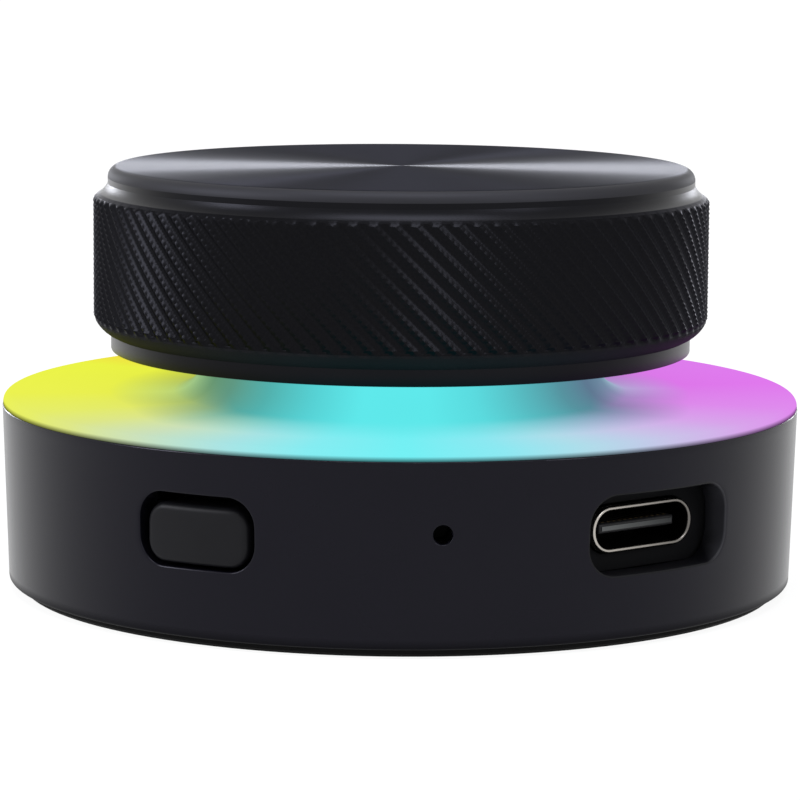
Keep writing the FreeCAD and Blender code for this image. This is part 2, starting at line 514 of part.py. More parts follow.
class Piece:
    """One sub-part: a PartDesign body, which can be turned about the knob's axis."""

    made = []

    def __init__(self, label, turn=None):
        self.body = doc.addObject("PartDesign::Body", label)
        self.body.Label = label
        self.body.AllowCompound = True
        self.datums = {datum.Role: datum for datum in self.body.Origin.OriginFeatures}
        if turn:
            self.body.Placement = FreeCAD.Placement(Vector(), FreeCAD.Rotation(UP, value(turn)))
            self.body.setExpression("Placement.Rotation.Angle", turn)
        Piece.made.append(self.body)

    def outline(self, name, plane="XY_Plane", at="0", turn=None):
        """An empty sketch on an origin plane, moved along its normal or turned about Z."""
        sketch = self.body.newObject("Sketcher::SketchObject", name)
        sketch.AttachmentSupport = [(self.datums[plane], "")]
        sketch.MapMode = "FlatFace"
        if turn:
            rotation = FreeCAD.Rotation(Vector(0, 1, 0), value(turn))
            sketch.AttachmentOffset = FreeCAD.Placement(Vector(), rotation)
            sketch.setExpression("AttachmentOffset.Rotation.Angle", turn)
        sketch.setExpression("AttachmentOffset.Base.z", at)
        return Outline(sketch)

    def feature(self, kind, name, outline):
        """A feature made from an outline."""
        feature = self.body.newObject(f"PartDesign::{kind}", name)
        feature.Profile = outline.sketch
        self.body.Tip = feature
        return feature

    def pad(self, name, outline, length, both_ways=False):
        """Material along the outline's normal."""
        pad = self.feature("Pad", name, outline)
        pad.setExpression("Length", length)
        if both_ways:
            pad.SideType = "Symmetric"
        return pad

    def revolve(self, name, outline):
        """Material round the outline's upright axis."""
        revolution = self.feature("Revolution", name, outline)
        revolution.ReferenceAxis = (outline.sketch, ["V_Axis"])
        revolution.Angle = 360
        return revolution

    def pocket(self, name, outline, depth=None, forward=False):
        """A cut against the outline's normal, or along it. Without a depth it goes through."""
        doc.recompute()
        before = self.body.Shape.Volume
        pocket = self.feature("Pocket", name, outline)
        pocket.Reversed = forward
        if depth:
            pocket.setExpression("Length", depth)
        else:
            pocket.Type = "ThroughAll"
        doc.recompute()
        if self.body.Shape.Volume >= before:
            raise RuntimeError(f"{name} cuts nothing")
        return pocket

    def repeat(self, name, features, copies):
        """Copies round the knob's axis, evenly spaced over a full turn."""
        pattern = self.body.newObject("PartDesign::PolarPattern", name)
        pattern.Originals = features
        pattern.Axis = (self.datums["Z_Axis"], [""])
        pattern.Angle = 360
        pattern.setExpression("Occurrences", str(copies))
        self.body.Tip = pattern

    def soften(self, name, size, chosen, kind="Fillet"):
        """Rounds or chamfers the edges that a test picks."""
        doc.recompute()
        base = self.body.Tip
        edges = [f"Edge{n}" for n, edge in enumerate(base.Shape.Edges, 1) if chosen(edge)]
        feature = self.body.newObject(f"PartDesign::{kind}", name)
        feature.Base = (base, edges)
        feature.setExpression("Radius" if kind == "Fillet" else "Size", size)
        self.body.Tip = feature


def on_ring(radius, height):
    """A test that picks the round edge of that radius at that height about the axis."""
    def chosen(edge):
        box = edge.BoundBox
        level = box.ZLength < NEAR and abs(box.ZMin - value(height)) < NEAR
        return level and abs(box.XLength / 2 - value(radius)) < NEAR and abs(box.Center.x) < NEAR
    return chosen


def disc(label, radius, bottom, height, hole=None, turn=None):
    """A plain disc or ring."""
    piece = Piece(label, turn)
    outline = piece.outline(f"{label}_outline", at=bottom).circle(radius)
    if hole:
        outline.circle(hole)
    piece.pad(f"{label}_plate", outline, height)
    return piece


def d_shape(outline, radius, flat):
    """A round section with one flat, on the side of +Y."""
    half = f"sqrt({radius} ^ 2 - {flat} ^ 2)"
    lowest = ("0", f"-{radius}", radius, LEFT)
    return outline.corners((f"-{half}", flat, radius, LEFT), lowest, (half, flat))


def double_d(outline, radius, flat):
    """A round section with two flats, on the sides of +X and -X."""
    half = f"sqrt({radius} ^ 2 - {flat} ^ 2)"
    return outline.corners(
        (flat, f"-{half}"),
        (flat, half, radius, LEFT),
        (f"-{flat}", half),
        (f"-{flat}", f"-{half}", radius, LEFT),
    )


def base_housing():
    """The painted drum: a drafted wall, the light guide's ledge, three screw posts and
    the openings for the button, the pinhole and the port."""
    piece = Piece("base_housing")
    profile = piece.outline("wall_profile", "XZ_Plane").corners(
        (INSIDE, WALL_BOTTOM),
        (FOOT_OF_WALL, WALL_BOTTOM),
        ("sizes.base_radius", WALL_TOP),
        (SEAT_RADIUS, WALL_TOP),
        (SEAT_RADIUS, SEAT),
        (LAND_INNER, SEAT),
        (LAND_INNER, LAND_BOTTOM),
        (INSIDE, LAND_BOTTOM),
    )
    piece.revolve("wall", profile)
    piece.soften("wall_edge", "sizes.wall_edge_round", on_ring("sizes.base_radius", WALL_TOP))
    post = piece.outline("post_outline", at=COVER_TOP).circle("sizes.boss_radius", y=BOSS_CIRCLE)
    posts = piece.pad("post", post, f"{LAND_BOTTOM} - {COVER_TOP}")
    pilot = piece.outline("pilot_outline", at=COVER_TOP).circle(SCREW_HOLE, y=BOSS_CIRCLE)
    pilots = piece.pocket("pilot", pilot, "sizes.pilot_depth", forward=True)
    piece.repeat("posts", [posts, pilots], SCREWS)

    button = piece.outline("button_outline", "XZ_Plane", turn="sizes.button_angle")
    window = ("sizes.button_window_width", "sizes.button_window_height", "sizes.button_window_corner")
    button.rounded(*window, BUTTON_CENTRE)
    piece.pocket("button_window", button, forward=True)
    port = piece.outline("port_outline", "XZ_Plane", turn="sizes.port_angle")
    window = ("sizes.port_window_width", "sizes.port_window_height", "sizes.port_window_corner")
    port.rounded(*window, PORT_CENTRE)
    piece.pocket("port_window", port, forward=True)
    pinhole = piece.outline("pinhole_outline", "XZ_Plane").circle("sizes.pinhole_radius", y=PINHOLE_CENTRE)
    piece.pocket("pinhole", pinhole, forward=True)


def bottom_cover():
    """The cover: a disc with a recess for the foot, three posts under the main board
    and three sunk holes for its own screws."""
    piece = disc("bottom_cover", COVER_RADIUS, WALL_BOTTOM, "sizes.cover_thickness")
    recess = piece.outline("recess_outline", at=WALL_BOTTOM).circle(RECESS_RADIUS)
    piece.pocket("foot_recess", recess, "sizes.foot_recess", forward=True)
    post = piece.outline("post_outline", at=COVER_TOP)
    post.circle("sizes.board_post_radius", y=f"-{BOARD_POST_CIRCLE}")
    posts = piece.pad("post", post, f"{BOARD_BOTTOM} - {COVER_TOP}")
    pilot = piece.outline("pilot_outline", at=BOARD_BOTTOM).circle(SCREW_HOLE, y=f"-{BOARD_POST_CIRCLE}")
    depth = "sizes.board_screw_length - sizes.board_thickness + sizes.screw_play"
    piece.repeat("posts", [posts, piece.pocket("pilot", pilot, depth)], SCREWS)
    hole = piece.outline("hole_outline", at=COVER_TOP).circle(SCREW_HOLE, y=BOSS_CIRCLE)
    holes = piece.pocket("hole", hole)
    sink = piece.outline("sink_outline", at=RECESS_TOP)
    sink.circle("sizes.cover_screw_head + sizes.screw_play", y=BOSS_CIRCLE)
    sinks = piece.pocket("sink", sink, f"{HEAD_SEAT} - {RECESS_TOP}", forward=True)
    piece.repeat("screw_holes", [holes, sinks], SCREWS)


def foot_pad():
    """The silicone foot: a wide pad under the wall and the cover, with a step that fills
    the cover's recess."""
    edge = f"({FOOT_OF_WALL} - sizes.foot_inset)"
    piece = disc("foot_pad", edge, "0", WALL_BOTTOM)
    step = piece.outline("step_outline", at=WALL_BOTTOM).circle(FOOT_RADIUS)
    piece.pad("step", step, "sizes.foot_recess")
    piece.soften("foot_edge", "sizes.foot_edge", on_ring(edge, "0"), "Chamfer")


def ballast_ring():
    """The steel ring that weighs the base down."""
    height = f"{BALLAST_TOP} - {COVER_TOP}"
    disc("ballast_ring", BALLAST_RADIUS, COVER_TOP, height, f"{BALLAST_RADIUS} - sizes.ballast_width")


def screw(kind, index, seat, y, head_up=True):
    """A pan-head screw whose head meets its seat, beside the axis on the side of y."""
    head, length = f"sizes.{kind}_head", f"sizes.{kind}_length"
    head_height = f"sizes.{kind}_head_height"
    piece = Piece(f"{kind}_{index + 1}", f"360 / {SCREWS} * {index}")
    crown = seat if head_up else f"{seat} - {head_height}"
    end = f"{seat} - {length}" if head_up else seat
    piece.pad("head", piece.outline("head_outline", at=crown).circle(head, y=y), head_height)
    piece.pad("shank", piece.outline("shank_outline", at=end).circle("sizes.screw_shank", y=y), length)


def screws():
    """The screws of the cover, the main board and the light board, with the sleeves
    that space the boards."""
    for index in range(SCREWS):
        screw("cover_screw", index, HEAD_SEAT, BOSS_CIRCLE, head_up=False)
        screw("board_screw", index, BOARD_TOP, f"-{BOARD_POST_CIRCLE}")
        screw("led_screw", index, LED_BOARD_TOP, SPACER_CIRCLE)
        spacer = Piece(f"led_spacer_{index + 1}", f"360 / {SCREWS} * {index}")
        ring = spacer.outline("spacer_outline", at=BOARD_TOP)
        ring.circle("sizes.spacer_radius", y=SPACER_CIRCLE)
        ring.circle(SCREW_HOLE, y=SPACER_CIRCLE)
        spacer.pad("sleeve", ring, f"{LED_BOARD_BOTTOM} - {BOARD_TOP}")


def main_board():
    """The main circuit board, notched round the cover screws' posts."""
    piece = disc("main_board", BOARD_RADIUS, BOARD_BOTTOM, "sizes.board_thickness")
    notch = piece.outline("notch_outline", at=BOARD_TOP)
    notch.circle("sizes.boss_radius + sizes.board_boss_gap", y=BOSS_CIRCLE)
    notches = piece.pocket("notch", notch)
    hole = piece.outline("hole_outline", at=BOARD_TOP).circle(SCREW_HOLE, y=f"-{BOARD_POST_CIRCLE}")
    holes = piece.pocket("hole", hole)
    piece.repeat("fixings", [notches, holes], SCREWS)
    pins = piece.outline("pin_holes_outline", at=BOARD_TOP)
    for x, side in PIN_PLACES:
        pins.circle("sizes.pin_hole_radius", f"{x} * sizes.pin_pitch", f"{side} * {PIN_AXIS}")
    piece.pocket("pin_holes", pins)
    slots = piece.outline("slots_outline", at=BOARD_TOP)
    for side in (-1, 1):
        middle = f"{side} * ({CLIP_SIDE} + sizes.clip_thickness / 2)"
        size = ("(sizes.clip_thickness + sizes.slot_play)", "(sizes.lug_width + sizes.slot_play)")
        slots.rectangle(*size, middle)
    piece.pocket("lug_slots", slots)


def board_parts():
    """The controller, crystal, regulator and capacitors on the main board."""
    chip = Piece("controller_chip")
    square = chip.outline("chip_outline", at=BOARD_TOP)
    square.rectangle("sizes.chip_size", "sizes.chip_size", "sizes.chip_x", "sizes.chip_y")
    chip.pad("chip", square, "sizes.chip_height")
    dot = chip.outline("dot_outline", at=f"{BOARD_TOP} + sizes.chip_height")
    corner = "sizes.chip_size / 2 - sizes.chip_dot_inset"
    dot.circle("sizes.chip_dot_radius", f"sizes.chip_x - ({corner})", f"sizes.chip_y + {corner}")
    chip.pocket("dot", dot, "sizes.chip_dot_depth")

    crystal = Piece("board_crystal")
    can = crystal.outline("crystal_outline", at=BOARD_TOP)
    can.rectangle("sizes.crystal_length", "sizes.crystal_width", "sizes.crystal_x", "sizes.crystal_y")
    crystal.pad("can", can, "sizes.crystal_height")

    regulator = Piece("voltage_regulator")
    block = regulator.outline("regulator_outline", at=BOARD_TOP)
    place = ("sizes.regulator_x", "sizes.regulator_y")
    block.rectangle("sizes.regulator_length", "sizes.regulator_width", *place)
    regulator.pad("block", block, "sizes.regulator_height")

    row = Piece("board_capacitors")
    chips = row.outline("capacitor_outlines", at=BOARD_TOP)
    for index in range(count("capacitor_count")):
        x = f"({index} - (sizes.capacitor_count - 1) / 2) * sizes.capacitor_pitch"
        y = f"({SPACER_CIRCLE} + sizes.capacitor_offset)"
        chips.rectangle("sizes.capacitor_width", "sizes.capacitor_length", x, y)
    row.pad("capacitors", chips, "sizes.capacitor_height")


def usb_port():
    """The USB-C receptacle: its shell, its tongue and the contacts, built facing -Y."""
    shell = Piece("usb_port_shell", "sizes.port_angle")
    tube = shell.outline("shell_outline", "XZ_Plane", PORT_END)
    tube.obround("sizes.port_width", "sizes.port_height", PORT_CENTRE)
    shell.pad("shell", tube, "sizes.port_length")
    feet = shell.outline("feet_outline", at=BOARD_TOP)
    span = "(sizes.port_foot_out + sizes.port_foot_in)"
    for side in (-1, 1):
        middle = f"{side} * (sizes.port_width + sizes.port_foot_out - sizes.port_foot_in) / 2"
        for y in (f"{PORT_END} + sizes.port_foot_inset", f"{BOARD_RADIUS} - sizes.port_foot_inset"):
            feet.rectangle(span, "sizes.port_foot_length", middle, f"-({y})")
    shell.pad("feet", feet, "sizes.port_foot_height")
    mouth = shell.outline("mouth_outline", "XZ_Plane", PORT_FACE)
    mouth.obround(CAVITY_WIDTH, CAVITY_HEIGHT, PORT_CENTRE)
    shell.pocket("mouth", mouth, "sizes.port_length - sizes.port_back")

    tongue = Piece("usb_port_tongue", "sizes.port_angle")
    root = tongue.outline("root_outline", "XZ_Plane", CAVITY_END)
    play = "2 * sizes.tongue_play"
    root.obround(f"({CAVITY_WIDTH} - {play})", f"({CAVITY_HEIGHT} - {play})", PORT_CENTRE)
    tongue.pad("root", root, "sizes.tongue_root")
    blade = tongue.outline("blade_outline", "XZ_Plane", CAVITY_END)
    blade.rectangle("sizes.tongue_width", "sizes.tongue_thickness", y=PORT_CENTRE)
    tongue.pad("blade", blade, f"{TONGUE_TIP} - {CAVITY_END}")

    contacts = Piece("usb_port_contacts", "sizes.port_angle")
    upper = f"{PORT_CENTRE} + sizes.tongue_thickness / 2"
    lower = f"{PORT_CENTRE} - sizes.tongue_thickness / 2 - sizes.contact_height"
    for side, height in (("upper", upper), ("lower", lower)):
        strips = contacts.outline(f"{side}_contact_outlines", at=height)
        for index in range(count("contact_count")):
            x = f"({index} - (sizes.contact_count - 1) / 2) * sizes.contact_pitch"
            y = f"-({TONGUE_TIP} - sizes.contact_setback - sizes.contact_length / 2)"
            strips.rectangle("sizes.contact_width", "sizes.contact_length", x, y)
        contacts.pad(f"{side}_contacts", strips, "sizes.contact_height")


def port_bezel():
    """The dark plate round the port, which closes the window from behind."""
    piece = Piece("port_bezel", "sizes.port_angle")
    plate = piece.outline("plate_outline", "XZ_Plane", f"{BEZEL_FACE} - sizes.bezel_thickness")
    plate.rectangle(BEZEL_WIDTH, BEZEL_HEIGHT, y=PORT_CENTRE)
    piece.pad("plate", plate, "sizes.bezel_thickness")
    hole = piece.outline("hole_outline", "XZ_Plane", BEZEL_FACE)
    play = "2 * sizes.bezel_play"
    hole.obround(f"(sizes.port_width + {play})", f"(sizes.port_height + {play})", PORT_CENTRE)
    piece.pocket("hole", hole, "sizes.bezel_thickness")


def encoder_case():
    """The encoder's plastic case, with a lower chamber for the push contact and an
    upper one for the rotor."""
    piece = Piece("encoder_case")
    square = piece.outline("case_outline", at=BOARD_TOP)
    square.rectangle("sizes.encoder_width", "sizes.encoder_width")
    piece.pad("case", square, "sizes.encoder_case_height")
    room = piece.outline("rotor_room_outline", at=CASE_TOP).circle(ROTOR_ROOM)
    piece.pocket("rotor_room", room, f"{CASE_TOP} - {ROTOR_FLOOR}")
    guide = piece.outline("plunger_hole_outline", at=ROTOR_FLOOR)
    guide.circle(f"{PLUNGER_RADIUS} + sizes.plunger_play")
    piece.pocket("plunger_hole", guide, "sizes.partition")
    dome = piece.outline("dome_room_outline", at=DOME_FLOOR).circle("sizes.dome_room_radius")
    piece.pocket("dome_room", dome, "sizes.dome_room_height", forward=True)


def encoder_bushing():
    """The encoder's metal plate with its threaded bushing, which the shaft turns in."""
    piece = Piece("encoder_bushing")
    plate = piece.outline("plate_outline", at=CASE_TOP)
    plate.rectangle("sizes.encoder_width", "sizes.encoder_width")
    piece.pad("plate", plate, "sizes.encoder_plate")
    tube = piece.outline("tube_outline", at=PLATE_TOP).circle(BUSHING_RADIUS)
    piece.pad("tube", tube, f"{BUSHING_TOP} - {PLATE_TOP}")
    bore = piece.outline("bore_outline", at=BUSHING_TOP).circle(BORE_RADIUS)
    piece.pocket("bore", bore)
    room = piece.outline("clip_room_outline", at=CASE_TOP).circle(CLIP_ROOM_RADIUS)
    piece.pocket("clip_room", room, "sizes.clip_room_height", forward=True)


def encoder_clip():
    """The steel clip that holds the encoder together, with a lug on each side."""
    piece = Piece("encoder_clip")
    outer = f"({CLIP_SIDE} + sizes.clip_thickness)"
    profile = piece.outline("clip_profile", "XZ_Plane").corners(
        (f"-{outer}", BOARD_TOP),
        (f"-{CLIP_SIDE}", BOARD_TOP),
        (f"-{CLIP_SIDE}", PLATE_TOP),
        (CLIP_SIDE, PLATE_TOP),
        (CLIP_SIDE, BOARD_TOP),
        (outer, BOARD_TOP),
        (outer, ENCODER_TOP),
        (f"-{outer}", ENCODER_TOP),
    )
    piece.pad("strap", profile, "sizes.clip_width", both_ways=True)
    lugs = piece.outline("lug_outlines", at=f"{BOARD_TOP} - sizes.lug_drop")
    for side in (-1, 1):
        middle = f"{side} * ({CLIP_SIDE} + sizes.clip_thickness / 2)"
        lugs.rectangle("sizes.clip_thickness", "sizes.lug_width", middle)
    piece.pad("lugs", lugs, "sizes.lug_drop")
    hole = piece.outline("hole_outline", at=ENCODER_TOP).circle(THREAD_HOLE)
    piece.pocket("hole", hole, "sizes.clip_thickness")


def encoder_pins():
    """The encoder's five bent pins."""
    piece = Piece("encoder_pins")
    inner = "(sizes.encoder_width / 2)"
    back = f"({PIN_REACH} - sizes.pin_thickness)"
    for number, (x, side) in enumerate(PIN_PLACES, 1):
        pin = piece.outline(f"pin_{number}_outline", "YZ_Plane", f"{x} * sizes.pin_pitch")
        pin.corners(
            (f"{side} * {inner}", DOME_FLOOR),
            (f"{side} * {back}", DOME_FLOOR),
            (f"{side} * {back}", f"{BOARD_TOP} - sizes.pin_drop"),
            (f"{side} * {PIN_REACH}", f"{BOARD_TOP} - sizes.pin_drop"),
            (f"{side} * {PIN_REACH}", f"{DOME_FLOOR} + sizes.pin_thickness"),
            (f"{side} * {inner}", f"{DOME_FLOOR} + sizes.pin_thickness"),
        )
        piece.pad(f"pin_{number}", pin, "sizes.pin_width", both_ways=True)


def encoder_fixings():
    """The washer and nut that clamp the light guide's floor on the encoder."""
    radius = f"{BUSHING_RADIUS} + sizes.washer_width"
    disc("encoder_washer", radius, WEB_TOP, "sizes.washer_thickness", THREAD_HOLE)
    nut = Piece("encoder_nut")
    hexagon = nut.outline("nut_outline", at=WASHER_TOP)
    corner = f"(({BUSHING_RADIUS} + sizes.nut_wall) / cos(30))"
    hexagon.corners(*[(f"{corner} * cos({60 * k + 30})", f"{corner} * sin({60 * k + 30})") for k in range(6)])
    hexagon.circle(THREAD_HOLE)
    nut.pad("nut", hexagon, "sizes.nut_height")


def push_contact():
    """The dome and the plunger that the shaft presses."""
    dome = Piece("push_dome")
    radius = "(sizes.dome_room_radius - sizes.dome_play)"
    crown = "(sizes.dome_height - sizes.dome_thickness)"
    rim = f"({radius} - sizes.dome_thickness)"
    inner = f"(({rim} ^ 2 + {crown} ^ 2) / (2 * {crown}))"
    outer = f"(({radius} ^ 2 + sizes.dome_height ^ 2) / (2 * sizes.dome_height))"
    section = dome.outline("dome_profile", "XZ_Plane").corners(
        (rim, DOME_FLOOR),
        (radius, DOME_FLOOR, outer, LEFT),
        ("0", f"{DOME_FLOOR} + sizes.dome_height"),
        ("0", f"{DOME_FLOOR} + {crown}", inner, RIGHT),
    )
    dome.revolve("dome", section)

    plunger = disc("push_plunger", FLANGE_RADIUS, PLUNGER_BOTTOM, "sizes.plunger_flange")
    stem = plunger.outline("stem_outline", at=PLUNGER_BOTTOM).circle(PLUNGER_RADIUS)
    plunger.pad("stem", stem, "sizes.plunger_height")


def encoder_rotor():
    """The rotor with its detents, and the wiper under it."""
    rotor = disc("encoder_rotor", ROTOR_RADIUS, ROTOR_BOTTOM, "sizes.rotor_height")
    drive = rotor.outline("drive_outline", at=ROTOR_TOP)
    double_d(drive, f"({DRIVE_RADIUS} + sizes.shaft_play)", f"({DRIVE_FLAT} + sizes.shaft_play)")
    rotor.pocket("drive_bore", drive)
    groove = rotor.outline("detent_outline", "XZ_Plane").corners(
        ("-sizes.detent_width / 2", ROTOR_TOP),
        ("0", f"{ROTOR_TOP} - sizes.detent_depth"),
        ("sizes.detent_width / 2", ROTOR_TOP),
    )
    detent = rotor.pocket("detent", groove, forward=True)
    rotor.repeat("detents", [detent], "sizes.detent_count")
    hole = f"{WIPER_RADIUS} - sizes.wiper_width"
    disc("encoder_wiper", WIPER_RADIUS, WIPER_BOTTOM, "sizes.wiper_thickness", hole)


def encoder_shaft():
    """The shaft: two flats in the rotor, a groove for the snap ring and a D under the knob."""
    flat_start = f"({HUB_BOTTOM} - sizes.flat_margin)"
    piece = Piece("encoder_shaft")
    drive = piece.outline("drive_outline", at=SHAFT_BOTTOM)
    double_d(drive, DRIVE_RADIUS, DRIVE_FLAT)
    piece.pad("drive", drive, f"{SHAFT_STEP} - {SHAFT_BOTTOM}")
    collar = piece.outline("collar_outline", at=SHAFT_STEP).circle("sizes.shaft_radius")
    piece.pad("collar", collar, "sizes.shaft_collar")
    neck = piece.outline("groove_outline", at=SNAP_BOTTOM).circle(SNAP_INNER)
    piece.pad("groove", neck, "sizes.snap_thickness")
    barrel = piece.outline("barrel_outline", at=SNAP_TOP).circle("sizes.shaft_radius")
    piece.pad("barrel", barrel, f"{flat_start} - {SNAP_TOP}")
    end = piece.outline("end_outline", at=flat_start)
    d_shape(end, "sizes.shaft_radius", SHAFT_FLAT)
    piece.pad("end", end, f"{SHAFT_TOP} - {flat_start}")
    top = value(SHAFT_TOP) - NEAR
    piece.soften("end_edge", "sizes.shaft_edge", lambda edge: edge.BoundBox.ZMin > top, "Chamfer")
    disc("shaft_snap_ring", SNAP_OUTER, SNAP_BOTTOM, "sizes.snap_thickness", SNAP_INNER)


def light_guide():
    """The light guide: a disc over the whole top of the base, whose lip lies on the wall's
    upper edge, and which rises in a hollow round into a collar under the knob."""
    piece = Piece("light_guide")
    rim = f"({SEAT_RADIUS} - sizes.guide_play)"
    lip = "(sizes.base_radius - sizes.guide_inset)"
    profile = piece.outline("guide_profile", "XZ_Plane").corners(
        (THREAD_HOLE, ENCODER_TOP),
        (ENCODER_ROOM, ENCODER_TOP),
        (ENCODER_ROOM, SEAT),
        (rim, SEAT),
        (rim, WALL_TOP),
        (lip, WALL_TOP),
        (lip, GUIDE_TOP),
        ("sizes.neck_radius + sizes.neck_flare", GUIDE_TOP, "sizes.neck_flare", RIGHT),
        ("sizes.neck_radius", f"{GUIDE_TOP} + sizes.neck_flare"),
        ("sizes.neck_radius", NECK_TOP),
        ("sizes.neck_radius - sizes.neck_wall", NECK_TOP),
        ("sizes.neck_radius - sizes.neck_wall", WEB_TOP),
        (THREAD_HOLE, WEB_TOP),
    )
    piece.revolve("guide", profile)
    piece.soften("guide_edge", "sizes.guide_edge_round", on_ring(lip, GUIDE_TOP))


def led_board():
    """The light board: a ring-shaped board with its lights, held on three spacers."""
    ring = (LED_BOARD_RADIUS, LED_BOARD_BOTTOM, "sizes.led_board_thickness", ENCODER_ROOM)
    board = disc("led_board", *ring)
    hole = board.outline("hole_outline", at=LED_BOARD_TOP).circle(SCREW_HOLE, y=SPACER_CIRCLE)
    board.repeat("holes", [board.pocket("hole", hole)], SCREWS)
    for index in range(count("led_count")):
        light = Piece(f"led_{index + 1}", f"sizes.led_start + 360 * {index} / sizes.led_count")
        square = light.outline("led_outline", at=LED_BOARD_TOP)
        square.rectangle("sizes.led_size", "sizes.led_size", y=f"-{LED_CIRCLE}")
        light.pad("block", square, "sizes.led_height")
        lens = light.outline("lens_outline", at=f"{LED_BOARD_TOP} + sizes.led_height")
        lens.circle("sizes.led_lens_radius", y=f"-{LED_CIRCLE}")
        light.pocket("lens", lens, "sizes.led_lens_depth")

    link = Piece("board_link")
    block = link.outline("link_outline", at=BOARD_TOP)
    block.rectangle("sizes.link_width", "sizes.link_length", "sizes.link_x")
    link.pad("block", block, f"{LED_BOARD_BOTTOM} - {BOARD_TOP}")
    grooves = link.outline("groove_outlines", at=LED_BOARD_BOTTOM)
    for side in (-1, 1):
        for step in (-1, 0, 1):
            edge = f"sizes.link_x + {side} * sizes.link_width / 2"
            grooves.rectangle("sizes.link_groove", "sizes.link_groove", edge, f"{step} * sizes.link_pitch")
    link.pocket("grooves", grooves)


def mode_button():
    """The button in the wall, its switch and the switch's stem, built facing -Y."""
    cap = Piece("mode_button_cap", "sizes.button_angle")
    face = cap.outline("cap_outline", "XZ_Plane", BUTTON_BACK)
    face.rounded(BUTTON_WIDTH, BUTTON_HEIGHT, "sizes.button_corner", CAP_CENTRE)
    cap.pad("cap", face, f"{BUTTON_FACE} - {BUTTON_BACK}")
    front = -value(BUTTON_FACE) + NEAR
    cap.soften("cap_edge", "sizes.button_edge_round", lambda edge: edge.BoundBox.YMax < front)
    ears = cap.outline("ears_outline", "XZ_Plane", BUTTON_BACK)
    ears.rectangle(EAR_WIDTH, EAR_HEIGHT, y=CAP_CENTRE)
    cap.pad("ears", ears, "sizes.ear_thickness")

    body = Piece("mode_switch_body", "sizes.button_angle")
    block = body.outline("switch_outline", "XZ_Plane", f"{SWITCH_FACE} - sizes.switch_depth")
    block.rectangle("sizes.switch_width", SWITCH_HEIGHT, y=f"({BOARD_TOP} + {SWITCH_HEIGHT} / 2)")
    body.pad("block", block, "sizes.switch_depth")
    mouth = body.outline("mouth_outline", "XZ_Plane", SWITCH_FACE)
    play = "2 * sizes.stem_play"
    mouth.rectangle(f"(sizes.stem_width + {play})", f"(sizes.stem_height + {play})", y=BUTTON_CENTRE)
    body.pocket("mouth", mouth, "sizes.stem_inside + sizes.button_travel + sizes.stem_play")

    stem = Piece("mode_switch_stem", "sizes.button_angle")
    bar = stem.outline("stem_outline", "XZ_Plane", f"{SWITCH_FACE} - sizes.stem_inside")
    bar.rectangle("sizes.stem_width", "sizes.stem_height", y=BUTTON_CENTRE)
    stem.pad("stem", bar, f"{BUTTON_BACK} - {SWITCH_FACE} + sizes.stem_inside")


def reset_switch():
    """The switch behind the pinhole and its stem."""
    body = Piece("reset_switch_body")
    block = body.outline("switch_outline", "XZ_Plane", f"{RESET_FACE} - sizes.reset_depth")
    block.rectangle("sizes.reset_width", SWITCH_HEIGHT, y=f"({BOARD_TOP} + {SWITCH_HEIGHT} / 2)")
    body.pad("block", block, "sizes.reset_depth")
    mouth = body.outline("mouth_outline", "XZ_Plane", RESET_FACE)
    mouth.circle("sizes.reset_stem_radius + sizes.stem_play", y=PINHOLE_CENTRE)
    body.pocket("mouth", mouth, "sizes.reset_stem_inside + sizes.reset_travel + sizes.stem_play")

    stem = Piece("reset_stem")
    rod = stem.outline("stem_outline", "XZ_Plane", f"{RESET_FACE} - sizes.reset_stem_inside")
    rod.circle("sizes.reset_stem_radius", y=PINHOLE_CENTRE)
    stem.pad("rod", rod, "sizes.reset_stem_inside + sizes.reset_stem_reach")


def knob_shell():
    """The turned metal knob: a plain band, a bulging shoulder, the grip, a hollow
    shoulder and a rim, bored out from below."""
    piece = Piece("knob_shell")
    profile = piece.outline("knob_profile", "XZ_Plane").corners(
        (KNOB_INSIDE, KNOB_BOTTOM),
        (BAND_RADIUS, KNOB_BOTTOM),
        (BAND_RADIUS, BAND_TOP, "sizes.lower_shoulder_round", LEFT),
        ("sizes.grip_radius", GRIP_BOTTOM),
        ("sizes.grip_radius", GRIP_TOP, "sizes.upper_shoulder_round", RIGHT),
        (RIM_RADIUS, RIM_BOTTOM),
        (RIM_RADIUS, KNOB_TOP),
        ("0", KNOB_TOP),
        ("0", CEILING),
        (KNOB_INSIDE, CEILING),
    )
    piece.revolve("knob", profile)
    piece.soften("rim_edge", "sizes.rim_round", on_ring(RIM_RADIUS, KNOB_TOP))


